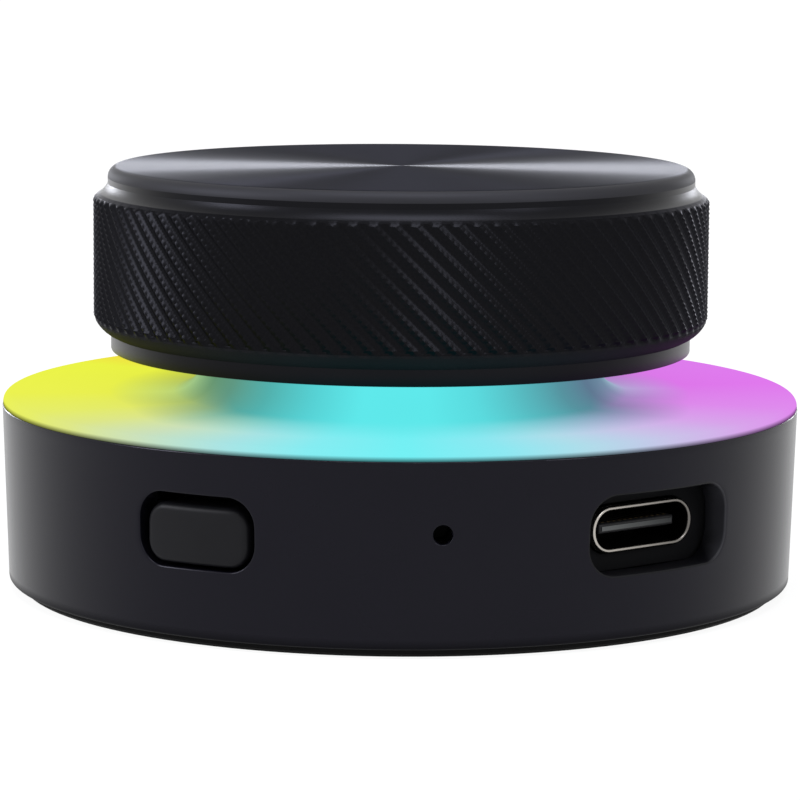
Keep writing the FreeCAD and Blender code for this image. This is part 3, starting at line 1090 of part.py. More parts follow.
def knob_hub():
    """The ribbed plastic hub that joins the knob to the shaft."""
    piece = disc("knob_hub", HUB_RADIUS, HUB_PLATE, "sizes.hub_flange")
    skirt_bottom = f"({HUB_PLATE} - sizes.hub_skirt_height)"
    skirt = piece.outline("skirt_outline", at=skirt_bottom).circle(HUB_RADIUS)
    skirt.circle(f"{HUB_RADIUS} - sizes.hub_skirt")
    piece.pad("skirt", skirt, "sizes.hub_skirt_height")
    boss = piece.outline("boss_outline", at=HUB_BOTTOM).circle(HUB_BOSS)
    piece.pad("boss", boss, f"{HUB_PLATE} - {HUB_BOTTOM}")
    inner = f"({HUB_BOSS} - sizes.rib_thickness / 2)"
    outer = f"({HUB_RADIUS} - sizes.hub_skirt / 2)"
    rib = piece.outline("rib_outline", at=f"{HUB_PLATE} - sizes.rib_height")
    rib.rectangle("sizes.rib_thickness", f"({outer} - {inner})", y=f"({outer} + {inner}) / 2")
    ribs = piece.pad("rib", rib, "sizes.rib_height")
    piece.repeat("ribs", [ribs], "sizes.rib_count")
    bore = piece.outline("bore_outline", at=HUB_BOTTOM)
    play = "sizes.hub_bore_play"
    d_shape(bore, f"(sizes.shaft_radius + {play})", f"({SHAFT_FLAT} + {play})")
    piece.pocket("bore", bore, f"{SHAFT_TOP} + sizes.hub_bore_end - {HUB_BOTTOM}", forward=True)


def check():
    """Stops the script if a feature failed or a sub-part has no sound solid."""
    doc.recompute()
    for item in doc.Objects:
        if {"Invalid", "Error"} & set(item.State):
            raise RuntimeError(f"{item.Label} failed: {item.State}")
    for body in Piece.made:
        if body.Shape.isNull() or not body.Shape.isValid() or not body.Shape.Solids:
            raise RuntimeError(f"{body.Label} has no sound solid")


base_housing()
bottom_cover()
foot_pad()
ballast_ring()
screws()
main_board()
board_parts()
usb_port()
port_bezel()
encoder_case()
encoder_bushing()
encoder_clip()
encoder_pins()
encoder_fixings()
push_contact()
encoder_rotor()
encoder_shaft()
light_guide()
led_board()
mode_button()
reset_switch()
knob_shell()
knob_hub()
check()

os.makedirs("parts", exist_ok=True)
for body in Piece.made:
    body.Shape.exportStep(f"parts/{body.Label}.step")
    box = body.Shape.BoundBox
    print(f"{body.Label:20} {body.Shape.Volume:9.2f} mm3  z {box.ZMin:.2f} to {box.ZMax:.2f}")
print(len(Piece.made), "sub-parts")
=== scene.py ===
# %% [markdown]
# # A USB volume knob, dressed for its picture
# The real thing is a low painted drum that stands on a desk. A frosted light guide lies over
# its whole top, and a knurled metal knob turns and presses above that. The construction comes
# packed from CAD, with every piece on a named body. This script never moves that frame: it
# loads it, puts finer skins on the pieces that show, and gives every surface its finish.

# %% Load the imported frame
import math
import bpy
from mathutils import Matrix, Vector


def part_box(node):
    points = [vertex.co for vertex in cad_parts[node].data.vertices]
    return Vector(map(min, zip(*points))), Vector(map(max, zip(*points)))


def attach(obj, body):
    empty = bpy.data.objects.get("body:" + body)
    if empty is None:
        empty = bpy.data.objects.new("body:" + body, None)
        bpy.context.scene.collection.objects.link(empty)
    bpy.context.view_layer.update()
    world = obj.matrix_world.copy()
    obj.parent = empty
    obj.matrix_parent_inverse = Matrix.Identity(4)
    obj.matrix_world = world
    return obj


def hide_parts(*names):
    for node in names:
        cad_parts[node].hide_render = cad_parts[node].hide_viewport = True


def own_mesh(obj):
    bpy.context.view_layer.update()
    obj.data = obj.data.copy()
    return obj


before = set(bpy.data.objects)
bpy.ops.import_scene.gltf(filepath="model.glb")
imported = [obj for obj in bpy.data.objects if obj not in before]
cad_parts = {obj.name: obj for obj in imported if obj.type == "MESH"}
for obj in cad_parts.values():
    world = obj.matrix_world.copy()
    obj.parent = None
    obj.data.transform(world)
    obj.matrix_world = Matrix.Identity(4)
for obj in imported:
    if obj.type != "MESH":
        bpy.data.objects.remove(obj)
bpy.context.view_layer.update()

from fnmatch import fnmatch

import bmesh
import bpy
import numpy as np
from mathutils import Euler, Matrix, Vector

# %% [markdown]
# ## Measures
# The frame is in metres, but a part this small is easier to think about in millimetres. So its
# pieces are drawn in millimetres and scaled once, when their mesh is made. Heights and radii
# that the CAD holds are read from the boxes of its nodes. Only what a box can't tell, such as
# a shoulder's curve, is written down again.

# %% Heights and radii from the frame
MM = 0.001


def lowest(node):
    """A node's lowest corner in millimetres."""
    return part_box(node)[0] / MM


def highest(node):
    """A node's highest corner in millimetres."""
    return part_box(node)[1] / MM


def around(turn, radius, height):
    """A point at a turn in radians from the front, a distance from the axis and a height."""
    return (radius * math.sin(turn), -radius * math.cos(turn), height)


WALL_BOTTOM, WALL_TOP = lowest("base_housing").z, highest("base_housing").z
WALL_RADIUS = highest("base_housing").x
GUIDE_RADIUS, GUIDE_SEAT = highest("light_guide").x, lowest("light_guide").z
KNOB_BOTTOM, KNOB_TOP = lowest("knob_shell").z, highest("knob_shell").z
GRIP_RADIUS = highest("knob_shell").x
print("base and knob in mm across:", round(WALL_RADIUS * 2, 1), round(GRIP_RADIUS * 2, 1))

# %% [markdown]
# ## The camera
# A long lens stands less than thirty centimetres away, half a hand above the desk and a few
# degrees left of the middle of the front. So low a view keeps the part's two discs nearly
# level, which gives a product picture its calm.

# %% Place the camera
CAMERA_DISTANCE = 276.0
CAMERA_HEIGHT = 52.8
CAMERA_TURN = math.radians(-5.82)
CAMERA_DIP = math.radians(8.18)
CAMERA_ROLL = math.radians(0.4)
LENS = 174.1
SENSOR_WIDTH = 36.0
CLIP_FROM = 0.01


def add(name, data):
    """A new object in the scene."""
    made = bpy.data.objects.new(name, data)
    bpy.context.scene.collection.objects.link(made)
    return made


camera = add("camera", bpy.data.cameras.new("camera"))
camera.data.lens = LENS
camera.data.sensor_width = SENSOR_WIDTH
camera.data.clip_start = CLIP_FROM
camera.location = around(CAMERA_TURN, CAMERA_DISTANCE * MM, CAMERA_HEIGHT * MM)
upright = Euler((math.pi / 2 - CAMERA_DIP, 0, CAMERA_TURN)).to_matrix()
camera.rotation_euler = (upright @ Matrix.Rotation(CAMERA_ROLL, 3, "Z")).to_euler()
bpy.context.scene.camera = camera
bpy.context.scene.view_settings.view_transform = "Standard"
print("camera at", [round(place * 1000) for place in camera.location], "mm")

# %% [markdown]
# ## Writing shaders as sums
# A node tree drawn by hand is hard to read back. Here a small class wraps an output socket, so
# that `0.3 + noise * 0.1` adds the Math nodes by itself. Every other kind of node comes from
# one method, which takes its type, its settings and its sockets.

# %% A wrapped socket
def sum_of(operation, reflected=False):
    """A method that writes a sum with another value as a Math node."""
    def method(self, other):
        return self.math(operation, *((other, self) if reflected else (self, other)))
    return method


class Wire:
    """An output socket of a node tree that sums can be written with."""

    def __init__(self, tree, socket=None):
        self.tree = tree
        self.socket = socket

    def node(self, kind, settings=None, sockets=None, out=0):
        """Adds a node: its settings first, then a value or a link for each socket."""
        made = self.tree.nodes.new("ShaderNode" + kind)
        for name, setting in (settings or {}).items():
            setattr(made, name, setting)
        for name, given in (sockets or {}).items():
            if isinstance(given, Wire):
                self.tree.links.new(given.socket, made.inputs[name])
            else:
                made.inputs[name].default_value = given
        return Wire(self.tree, made.outputs[out])

    def math(self, operation, *values):
        """A Math node on values, such as the wire itself and another."""
        return self.node("Math", {"operation": operation}, dict(enumerate(values)))

    __add__ = __radd__ = sum_of("ADD")
    __mul__ = __rmul__ = sum_of("MULTIPLY")
    __sub__, __rsub__ = sum_of("SUBTRACT"), sum_of("SUBTRACT", True)
    __truediv__, __rtruediv__ = sum_of("DIVIDE"), sum_of("DIVIDE", True)
    __pow__ = sum_of("POWER")

    def sine(self):
        """A wave from 0 to 1."""
        return self.math("SINE", self) * 0.5 + 0.5

    def limit(self):
        """The value, kept from 0 to 1."""
        return self.node("Math", {"operation": "ADD", "use_clamp": True}, {0: self, 1: 0.0})

    def fade(self, start, length):
        """0 up to a start, then rising to 1 over a length."""
        return ((self - start) / length).limit()


def colour(shade):
    """A colour with its fourth number. A number gives a grey, and a wire stays as it is."""
    if isinstance(shade, Wire):
        return shade
    return (*shade, 1.0) if isinstance(shade, tuple) else (shade, shade, shade, 1.0)


def mix(factor, first, second):
    """Goes from the first colour to the second."""
    settings = {"data_type": "RGBA"}
    return factor.node("Mix", settings, {0: factor, 6: colour(first), 7: colour(second)}, out=2)


def tint(factor, shade):
    """A colour made lighter or darker by a value."""
    settings = {"data_type": "RGBA", "blend_type": "MULTIPLY"}
    grey = factor.node("CombineColor", None, {0: factor, 1: factor, 2: factor})
    return factor.node("Mix", settings, {0: 1.0, 6: colour(shade), 7: grey}, out=2)


# %% [markdown]
# ## The stage
# The floor and what surrounds it ask the Light Path node what kind of ray has come. Rays from
# the camera, and rays that mirror or pass through something, see white. All other rays see a
# dimmer, plain studio, so that the backdrop pours no extra light on the part. The floor gives
# most of its white as a glow and the rest as a diffuse surface, which takes a shadow.

# %% Floor and surroundings
FLOOR_HALF = 4.0
FLOOR_GLOW = 0.92
FLOOR_SHARE = 0.12
FLOOR_PALE = 0.8
STUDIO_LIGHT = 0.55


def empty_tree(holder):
    """A wire to start from, in the tree of a material or a world."""
    holder.use_nodes = True
    holder.node_tree.nodes.clear()
    return Wire(holder.node_tree)


def show(tree, output, unseen, seen):
    """Ends a tree: white for what is looked at or mirrored, another shader for the rest."""
    path = tree.nodes.new("ShaderNodeLightPath")
    kinds = ("Camera", "Glossy", "Transmission")
    straight, mirrored, through = (Wire(tree, path.outputs[f"Is {kind} Ray"]) for kind in kinds)
    sees_white = (straight + mirrored + through).limit()
    shown = sees_white.node("MixShader", None, {0: sees_white, 1: unseen, 2: seen})
    tree.links.new(shown.socket, tree.nodes.new("ShaderNodeOutput" + output).inputs["Surface"])


def make_floor():
    """A wide pale floor that keeps the part's shadow."""
    mesh = bpy.data.meshes.new("floor")
    corners = [(x * FLOOR_HALF, y * FLOOR_HALF, 0) for x, y in ((-1, -1), (1, -1), (1, 1), (-1, 1))]
    mesh.from_pydata(corners, [], [(0, 1, 2, 3)])
    floor = add("floor", mesh)
    material = bpy.data.materials.new("floor_paper")
    start = empty_tree(material)
    paper = start.node("BsdfDiffuse", None, {"Color": colour(FLOOR_SHARE)})
    pale = start.node("BsdfDiffuse", None, {"Color": colour(FLOOR_PALE)})
    glow = start.node("Emission", None, {"Strength": FLOOR_GLOW})
    seen = start.node("AddShader", None, {0: paper, 1: glow})
    show(start.tree, "Material", pale, seen)
    mesh.materials.append(material)


def make_surroundings():
    """A white backdrop all round, which lights the part only at studio level."""
    world = bpy.data.worlds.new("studio")
    start = empty_tree(world)
    light = start.node("Background", None, {"Color": colour(1.0), "Strength": STUDIO_LIGHT})
    white = start.node("Background", None, {"Color": colour(1.0), "Strength": 1.0})
    show(start.tree, "World", light, white)
    bpy.context.scene.world = world


make_floor()
make_surroundings()
print("stage ready: floor", FLOOR_HALF * 2, "m wide")

# %% [markdown]
# ## The lamps
# Black things are lit by what they mirror. Two tall soft boxes stand left and right and pick
# out the flanks of the knurl. A broad one overhead lights the top faces. Four low strips stand
# behind, in a narrow and a wide pair: the spun top draws each into a streak, and the streaks
# cross in a bow tie that widens outwards. All are area lamps, because a small hard lamp would
# leave dots on the turned metal. Their light is a little cool, like daylight.

# %% Soft boxes
DAYLIGHT = (0.90, 0.92, 1.0)


def soft_box(name, turn, rise, distance, size, power):
    """An area lamp at a turn from the front and a rise above the desk, aimed at the part."""
    data = bpy.data.lights.new(name, "AREA")
    data.shape = "RECTANGLE"
    data.size, data.size_y = size
    data.energy = power
    data.color = DAYLIGHT
    lamp = add(name, data)
    turn, rise = math.radians(turn), math.radians(rise)
    way = Vector(around(turn, math.cos(rise), math.sin(rise)))
    lamp.location = way * distance
    lamp.rotation_euler = (-way).to_track_quat("-Z", "Y").to_euler()


# Each lamp has its turn, rise, distance, size and power.
LAMPS = {
    "left_box": (-82, 30, 0.60, (0.14, 0.30), 1.72),
    "right_box": (44, 31, 0.60, (0.12, 0.30), 0.65),
    "back_left": (-178, 9, 1.20, (0.16, 0.30), 0.66),
    "back_right": (166, 9, 1.20, (0.16, 0.30), 0.66),
    "rim_left": (-158, 6, 0.90, (0.12, 0.20), 0.74),
    "rim_right": (148, 6, 0.90, (0.10, 0.20), 0.49),
    "top_box": (0, 80, 0.70, (0.40, 0.30), 2.35),
}
for name, place in LAMPS.items():
    soft_box(name, *place)
print("lamps:", ", ".join(LAMPS))

# %% [markdown]
# ## Skins
# A piece is drawn as rings of points that are bridged with faces: an outline, carried along or
# turned round. The class below gathers the rings and makes the mesh at the end. It turns all
# faces outwards, smooths them and keeps edges sharper than a given angle crisp.

# %% Rings, bridges and the finished mesh
class Skin:
    """Points and faces of one piece, in millimetres."""

    def __init__(self):
        self.points = []
        self.faces = []
        self.finishes = []

    def ring(self, places):
        """Adds points and gives their numbers."""
        start = len(self.points)
        self.points.extend(tuple(map(float, place)) for place in places)
        return list(range(start, len(self.points)))

    def face(self, corners, finish=0):
        """One face."""
        self.faces.append(tuple(corners))
        self.finishes.append(finish)

    def bridge(self, first, second, finish=0):
        """Faces between two rings. A ring of one point is a tip."""
        count = max(len(first), len(second))
        for k in range(count):
            a, b = (first[step % len(first)] for step in (k, (k + 1) % count))
            d, c = (second[step % len(second)] for step in (k, (k + 1) % count))
            self.face(dict.fromkeys((a, b, c, d)), finish)

    def loft(self, rings, finish=0):
        """Bridges each ring with the next."""
        for first, second in zip(rings, rings[1:]):
            self.bridge(first, second, finish)

    def make(self, name, body, slot, node, *finishes, crease=30.0):
        """The finished piece, on its body and in place of a CAD node."""
        mesh = bpy.data.meshes.new(name)
        mesh.from_pydata([[place * MM for place in point] for point in self.points], [], self.faces)
        mesh.polygons.foreach_set("material_index", self.finishes)
        outward(mesh)
        mesh.shade_smooth()
        mesh.set_sharp_from_angle(angle=math.radians(crease))
        for finish in finishes:
            mesh.materials.append(finish)
        piece = add(name, mesh)
        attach(piece, body)
        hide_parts(node)
        print(f"{name}: {len(mesh.polygons)} faces on {body}")
        return piece


def outward(mesh):
    """Turns every closed skin's faces outwards."""
    work = bmesh.new()
    work.from_mesh(mesh)
    bmesh.ops.recalc_face_normals(work, faces=work.faces)
    work.to_mesh(mesh)
    work.free()


def arc(centre, radius, start, end, steps):
    """Points along an arc, from one angle in degrees to another."""
    turns = np.radians(np.linspace(start, end, steps + 1))
    return [(centre[0] + radius * math.cos(t), centre[1] + radius * math.sin(t)) for t in turns]


def turned(skin, profile, count, finish=0, centre=(0.0, 0.0), closed=True):
    """Turns a profile of (radius, height) points round an upright axis."""
    turns = 2 * math.pi * np.arange(count) / count
    rings = []
    for radius, height in profile:
        spots = [around(turn, radius, height) for turn in (turns if radius else [0.0])]
        rings.append(skin.ring([(centre[0] + x, centre[1] + y, z) for x, y, z in spots]))
    skin.loft(rings, finish)
    if closed:
        skin.bridge(rings[-1], rings[0], finish)
    return rings

# %% [markdown]
# ## Finishes
# Each finish is a function that returns a material. They share one start: a Principled
# shader with its plain numbers, and nodes to build the varying ones from. Patterns are laid
# out in the object's own coordinates, so they ride along when a body moves.

# %% A material and its start
class Finish:
    """A material under one Principled shader."""

    def __init__(self, name, **plain):
        self.material = bpy.data.materials.new(name)
        self.material.use_nodes = True
        self.tree = self.material.node_tree
        self.shader = self.tree.nodes["Principled BSDF"]
        self.node = Wire(self.tree).node
        for socket, given in plain.items():
            self.set(socket.replace("_", " ").title().replace("Ior", "IOR"), given)

    def set(self, socket, given):
        """A number, a colour or a wire into the shader."""
        target = self.shader.inputs[socket]
        if isinstance(given, Wire):
            self.tree.links.new(given.socket, target)
        else:
            target.default_value = colour(given) if isinstance(given, tuple) else given

    def done(self, shade, roughness, height, depth):
        """Sets what varies and gives the material. The relief's heights go from 0 to 1, and
        its depth is in millimetres."""
        self.set("Base Color", shade)
        self.set("Roughness", roughness)
        relief = {"Height": height, "Distance": depth * MM, "Strength": 1.0}
        self.set("Normal", self.node("Bump", None, relief))
        return self.material

    def place(self):
        """The object's own coordinates, in metres."""
        return self.node("TexCoord", out=3)

    def coordinate(self, axis):
        """One of the object's own coordinates, in millimetres."""
        own = {0: self.place()}
        return self.node("SeparateXYZ", None, own, out="XYZ".index(axis)) * (1 / MM)

    def axis_distance(self):
        """How far a spot is from the knob's axis, in millimetres."""
        level = {0: self.place(), 1: (1 / MM, 1 / MM, 0.0)}
        flat = self.node("VectorMath", {"operation": "MULTIPLY"}, level)
        return self.node("VectorMath", {"operation": "LENGTH"}, {0: flat}, out=1)

    def noise(self, size, detail=2.0, roughness=0.5):
        """Soft noise whose grain is about a size in millimetres."""
        grain = {"Scale": 1 / (size * MM), "Detail": detail, "Roughness": roughness}
        return self.node("TexNoise", None, {"Vector": self.place(), **grain})

    def circles(self, scale, detail):
        """Noise that changes only with the distance from the axis."""
        sockets = {"W": self.axis_distance(), "Scale": scale, "Detail": detail}
        return self.node("TexNoise", {"noise_dimensions": "1D"}, sockets)

    def dull(self, share, shade):
        """Mixes a dull surface without any gloss in, by a share."""
        flat = self.node("BsdfDiffuse", None, {"Color": colour(shade)})
        glossy = Wire(self.tree, self.shader.outputs[0])
        both = self.node("MixShader", None, {0: share, 1: glossy, 2: flat})
        self.tree.links.new(both.socket, self.tree.nodes["Material Output"].inputs["Surface"])


# %% Finishes of the turned and painted metal
FOOT_SHADE_FULL_BELOW = WALL_BOTTOM + 0.10
FOOT_SHADE_FADE = 0.60
FOOT_SHADE_SHARE = 0.75


def black_paint():
    """Satin black paint on the drum: nearly flat, with a fine orange peel. Towards its lower edge a
    dark dull surface is mixed in by height: painted shade where the drum meets the floor."""
    finish = Finish("satin_black_paint", specular_ior_level=0.160, specular_tint=(0.86, 0.84, 1.0))
    cloud, peel = finish.noise(9.0), finish.noise(0.35)
    painted_foot_shade = 1.0 - finish.coordinate("Z").fade(FOOT_SHADE_FULL_BELOW, FOOT_SHADE_FADE)
    # Painted shade: a dark dull surface, mixed in towards the drum's foot.
    finish.dull(painted_foot_shade * FOOT_SHADE_SHARE, (0.006, 0.006, 0.007))
    shade = mix(cloud, (0.0022, 0.0021, 0.0040), (0.0045, 0.0043, 0.0066))
    return finish.done(shade, 0.19 + cloud * 0.04 + peel * 0.03, peel, 0.0012)


def turned_metal(name, size, dark, light, roughness, swing, pitch, depth):
    """Black anodised aluminium, clouded and with the lathe's rings round the axis."""
    finish = Finish(name, metallic=1.0)
    rings, cloud = (finish.coordinate("Z") * pitch).sine(), finish.noise(size)
    roughness = roughness + cloud * 0.05 + rings * swing
    return finish.done(mix(cloud, dark, light), roughness, rings, depth)


def clouded(name, cloud, dark, light, roughness, swing, grain, depth, **plain):
    """A finish whose colour and roughness go with one noise, and its relief with another."""
    finish = Finish(name, **plain)
    cloud = finish.noise(*cloud)
    shade = mix(cloud, dark, light)
    return finish.done(shade, roughness + cloud * swing, finish.noise(grain), depth)


def spun():
    """The spun top: fine circles that stretch every highlight into a bow tie."""
    finish = Finish("black_anodised_spun", metallic=1.0, specular_tint=(0.94, 0.95, 1.0),
                    anisotropic=1.0, anisotropic_rotation=0.25)
    coarse, fine = finish.circles(3.0, 4.0), finish.circles(14.0, 2.0)
    shade = mix(coarse, (0.010, 0.010, 0.014), (0.018, 0.018, 0.024))
    return finish.done(shade, 0.62 + coarse * 0.06 + fine * 0.05, fine, 0.0012)


# %% The wheel of coloured light
SIDES_FROM, SIDES_OVER = 50.0, 20.0
NECK_FOOT, NECK_OVER = 14.3, 2.0
DISC_FROM, DISC_OVER = 16.0, 7.5
LIT_FROM, LIT_OVER, LIT_CURVE = WALL_TOP - 0.08, 0.42, 1.4


def round_the_axis(value, *stops):
    """Turns a value into a colour, through stops in degrees from the front, -180 to 180."""
    made = value.node("ValToRGB", None, {"Fac": value})
    elements = made.socket.node.color_ramp.elements
    while len(elements) < len(stops):
        elements.new(1.0)
    for element, (degrees, shade) in zip(elements, stops):
        element.position, element.color = degrees / 360 + 0.5, colour(shade)
    return made


def light_wheel():
    """The frosted light guide, lit from below by a ring of coloured lights. Round the collar the
    colours turn darker, most at the sides: painted shade under the knob. The disc's colours reach
    closer to the collar at the sides."""
    finish = Finish("frosted_light_guide", specular_ior_level=0.0, emission_strength=1.0)
    x, y, height = (finish.coordinate(axis) for axis in "XYZ")
    radius = finish.axis_distance()
    turn = x.math("ARCTAN2", x, 0.0 - y) / (2 * math.pi) + 0.5
    disc = round_the_axis(
        turn,
        (-180, (0.95, 0.12, 0.10)), (-155, (0.95, 0.45, 0.04)), (-125, (0.83, 0.90, 0.06)),
        (-90, (0.83, 0.88, 0.08)), (-70, (0.78, 0.84, 0.14)), (-58, (0.72, 0.79, 0.24)),
        (-44, (0.59, 0.74, 0.49)), (-30, (0.39, 0.76, 0.76)), (-18, (0.23, 0.83, 0.87)),
        (-5, (0.17, 0.86, 0.89)), (8, (0.26, 0.80, 0.87)), (20, (0.43, 0.71, 0.81)),
        (34, (0.58, 0.54, 0.80)), (50, (0.69, 0.37, 0.83)), (68, (0.74, 0.26, 0.85)),
        (95, (0.75, 0.19, 0.85)), (131, (0.73, 0.21, 0.85)), (155, (0.85, 0.10, 0.45)),
        (180, (0.95, 0.12, 0.10)),
    )
    # Painted shade: the collar's colours are darker than the disc's, darkest at the sides.
    shaded_neck = round_the_axis(
        turn,
        (-180, (0.30, 0.08, 0.04)), (-130, (0.25, 0.28, 0.04)), (-90, (0.34, 0.58, 0.26)),
        (-72, (0.14, 0.32, 0.18)), (-60, (0.12, 0.33, 0.24)), (-45, (0.09, 0.46, 0.44)),
        (-30, (0.10, 0.67, 0.69)), (-16, (0.12, 0.84, 0.86)), (2, (0.12, 0.84, 0.86)),
        (15, (0.11, 0.74, 0.77)), (30, (0.10, 0.51, 0.55)), (45, (0.10, 0.31, 0.37)),
        (60, (0.12, 0.20, 0.30)), (74, (0.16, 0.28, 0.38)), (90, (0.30, 0.52, 0.60)),
        (130, (0.22, 0.06, 0.28)), (180, (0.30, 0.08, 0.04)),
    )
    cloud = finish.noise(7.0)
    beside = (turn.math("ABSOLUTE", turn - 0.5) * 360.0).fade(SIDES_FROM, SIDES_OVER)
    reach = ((radius - DISC_FROM) / DISC_OVER + beside * 0.35).limit()
    wheel = mix(reach * radius.fade(NECK_FOOT, NECK_OVER), shaded_neck, disc)
    level = (0.96 - cloud * 0.05) * height.fade(LIT_FROM, LIT_OVER) ** LIT_CURVE
    finish.set("Emission Color", tint(level, wheel))
    # Painted light: the base colour carries the glow's colours at a low level.
    shade = tint(0.05 + cloud * 0.03, wheel)
    return finish.done(shade, 0.52 + cloud * 0.08, finish.noise(0.25), 0.003)


# %% Finishes of mouldings and the port
STREAK = 0.05
PORT_LEFT, PORT_SPAN = 10.4, 7.4
PAINTED_LIGHT_FROM, PAINTED_LIGHT_OVER = 18.8, 0.8


def moulded(name, dark, light, roughness, grain=0.2, depth=0.006, level=0.4):
    """Moulded plastic, rubber or ceramic with a fine grain."""
    finish = Finish(name, specular_ior_level=level)
    sparks, cloud = finish.noise(grain, 3.0), finish.noise(5.0)
    return finish.done(mix(cloud, dark, light), roughness - 0.05 + sparks * 0.12, sparks, depth)


def window_wall_painted_light():
    """The inside of the port's window. Its far end is painted lighter: painted light on the
    window's far wall.
    """
    finish = Finish("port_window_edge", specular_ior_level=0.13)
    cloud = finish.noise(1.5)
    # Painted light: lighter towards the far end of the window, by x.
    painted_light = finish.coordinate("X").fade(PAINTED_LIGHT_FROM, PAINTED_LIGHT_OVER) * (1.0 - cloud * 0.3)
    shade = mix(painted_light, (0.0030, 0.0030, 0.0042), (0.034, 0.034, 0.039))
    return finish.done(shade, 0.40 + cloud * 0.08, finish.noise(0.35), 0.003)


def sheet_metal(name, bright, far_colour, roughness):
    """Plated metal of the port, darker towards its far end (larger x), with faint streaks."""
    finish = Finish(name, metallic=1.0)
    flow = finish.node("Mapping", None, {"Vector": finish.place(), "Scale": (1.0, 1.0, 6.0)})
    grain = {"Vector": flow, "Scale": 1 / (STREAK * MM), "Detail": 2.0}
    streaks, cloud = finish.node("TexNoise", None, grain), finish.noise(2.0)
    darker_far = ((finish.coordinate("X") - PORT_LEFT) / PORT_SPAN + cloud * 0.2 - 0.1).limit()
    return finish.done(mix(darker_far, bright, far_colour), roughness + streaks * 0.12, streaks, 0.0015)


PAINT = black_paint()
ANODISED = turned_metal("black_anodised_turned", 6.0, (0.0095, 0.0095, 0.011),
                        (0.0125, 0.0125, 0.0145), 0.30, 0.02, 95.0, 0.0006)
# The rim's rounding is isotropic, not spun, and its metal is brighter than the rest: a painted
# sheen.
RIM_WITH_PAINTED_SHEEN = turned_metal("black_anodised_rim_painted_sheen", 5.0, (0.031, 0.031, 0.036),
                       (0.037, 0.037, 0.042), 0.56, 0.0, 160.0, 0.0004)
KNURLED = clouded("black_anodised_knurl", (0.15,), (0.006, 0.006, 0.007),
                  (0.01, 0.01, 0.0115), 0.26, 0.10, 0.15, 0.004,
                  metallic=1.0, specular_tint=(0.60, 0.60, 0.62))
MATT_BLACK = clouded("black_matt_bulge", (4.0,), (0.01, 0.01, 0.0115),
                     (0.014, 0.014, 0.0155), 0.55, 0.08, 0.2, 0.002, specular_ior_level=0.02)
SPUN = spun()
GLOW = light_wheel()
BUTTON_PLASTIC = moulded("black_button", (0.005, 0.005, 0.0062), (0.0075, 0.0075, 0.009),
                         0.40, 0.15, 0.003, 0.13)
BLACK_PLASTIC = moulded("black_moulding", (0.005, 0.005, 0.006), (0.008, 0.008, 0.009),
                        0.55, level=0.12)
INSULATOR = moulded("port_insulator", (0.010, 0.010, 0.011), (0.016, 0.016, 0.017),
                    0.45, 0.1, 0.003, 0.2)
BEZEL_BLACK = moulded("port_bezel_black", (0.005, 0.005, 0.0056), (0.008, 0.008, 0.0088),
                      0.6, 0.2, 0.004, 0.05)
SILICONE = moulded("black_silicone", 0.006, 0.011, 0.72, 0.3, 0.02, 0.08)
PORT_STEEL = sheet_metal("port_steel", (0.46, 0.43, 0.39), (0.14, 0.13, 0.12), 0.16)
# Painted shade: the same steel, made nearly black inside the port's cavity.
PORT_STEEL_IN_PAINTED_SHADE = sheet_metal("port_steel_shaded_inside", 0.030, 0.015, 0.30)
TONGUE_STEEL = sheet_metal("tongue_nose", (0.11, 0.115, 0.115), (0.020, 0.021, 0.022), 0.22)
WINDOW_EDGE = window_wall_painted_light()
print("finishes:", len(bpy.data.materials))

# %% [markdown]
# ## The knob
# The knob is one turned piece of aluminium. Two hardened wheels knurl its grip: a coarse one
# leaves long ridges that lean like a backslash, and a fine one, slanted the other way, only
# nicks their crests.
#
# This relief is real geometry. The skin is a grid of eight columns to a ridge, so every crest
# and valley runs exactly along vertices, and each cell is split along the diagonal that a
# crease follows. Above the grip the turned shoulder cuts the ridges off clean, and below it
# they run out in small teeth on the upper part of the bulge.

# %% The knob's profile
BAND_RADIUS = GRIP_RADIUS - 1.25
BAND_TOP = KNOB_BOTTOM + 1.17
GRIP_BOTTOM = BAND_TOP + 1.34
RIM_RADIUS = GRIP_RADIUS - 1.05
RIM_BOTTOM = KNOB_TOP - 1.2
GRIP_TOP = RIM_BOTTOM - 0.98
BULGE_ROUND = 2.2
HOLLOW_ROUND = 1.7
RIM_ROUND = 0.8
KNOB_INSIDE = BAND_RADIUS - 2.0
CEILING = KNOB_TOP - 2.0
EDGE_BREAK = 0.12
FACE_RINGS = (19.0, 14.0, 8.0, 3.0, 0)


def arc_centre(start, end, radius, side):
    """The centre of an arc between two points, left (1) or right (-1) of the way there."""
    start, end = np.array(start), np.array(end)
    chord = end - start
    length = np.hypot(*chord)
    normal = np.array((-chord[1], chord[0])) / length
    return (start + end) / 2 + normal * side * math.sqrt(radius ** 2 - length ** 2 / 4)


BULGE = arc_centre((BAND_RADIUS, BAND_TOP), (GRIP_RADIUS, GRIP_BOTTOM), BULGE_ROUND, 1)
HOLLOW = arc_centre((GRIP_RADIUS, GRIP_TOP), (RIM_RADIUS, RIM_BOTTOM), HOLLOW_ROUND, -1)


def bulge_radius(height):
    """The turned radius over the bulge and the grip."""
    if height >= GRIP_BOTTOM:
        return GRIP_RADIUS
    return BULGE[0] + math.sqrt(BULGE_ROUND ** 2 - (height - BULGE[1]) ** 2)


def hollow_radius(height):
    """The turned radius over the hollow shoulder, which cuts the ridges off."""
    if height <= GRIP_TOP:
        return GRIP_RADIUS
    return HOLLOW[0] - math.sqrt(HOLLOW_ROUND ** 2 - (height - HOLLOW[1]) ** 2)


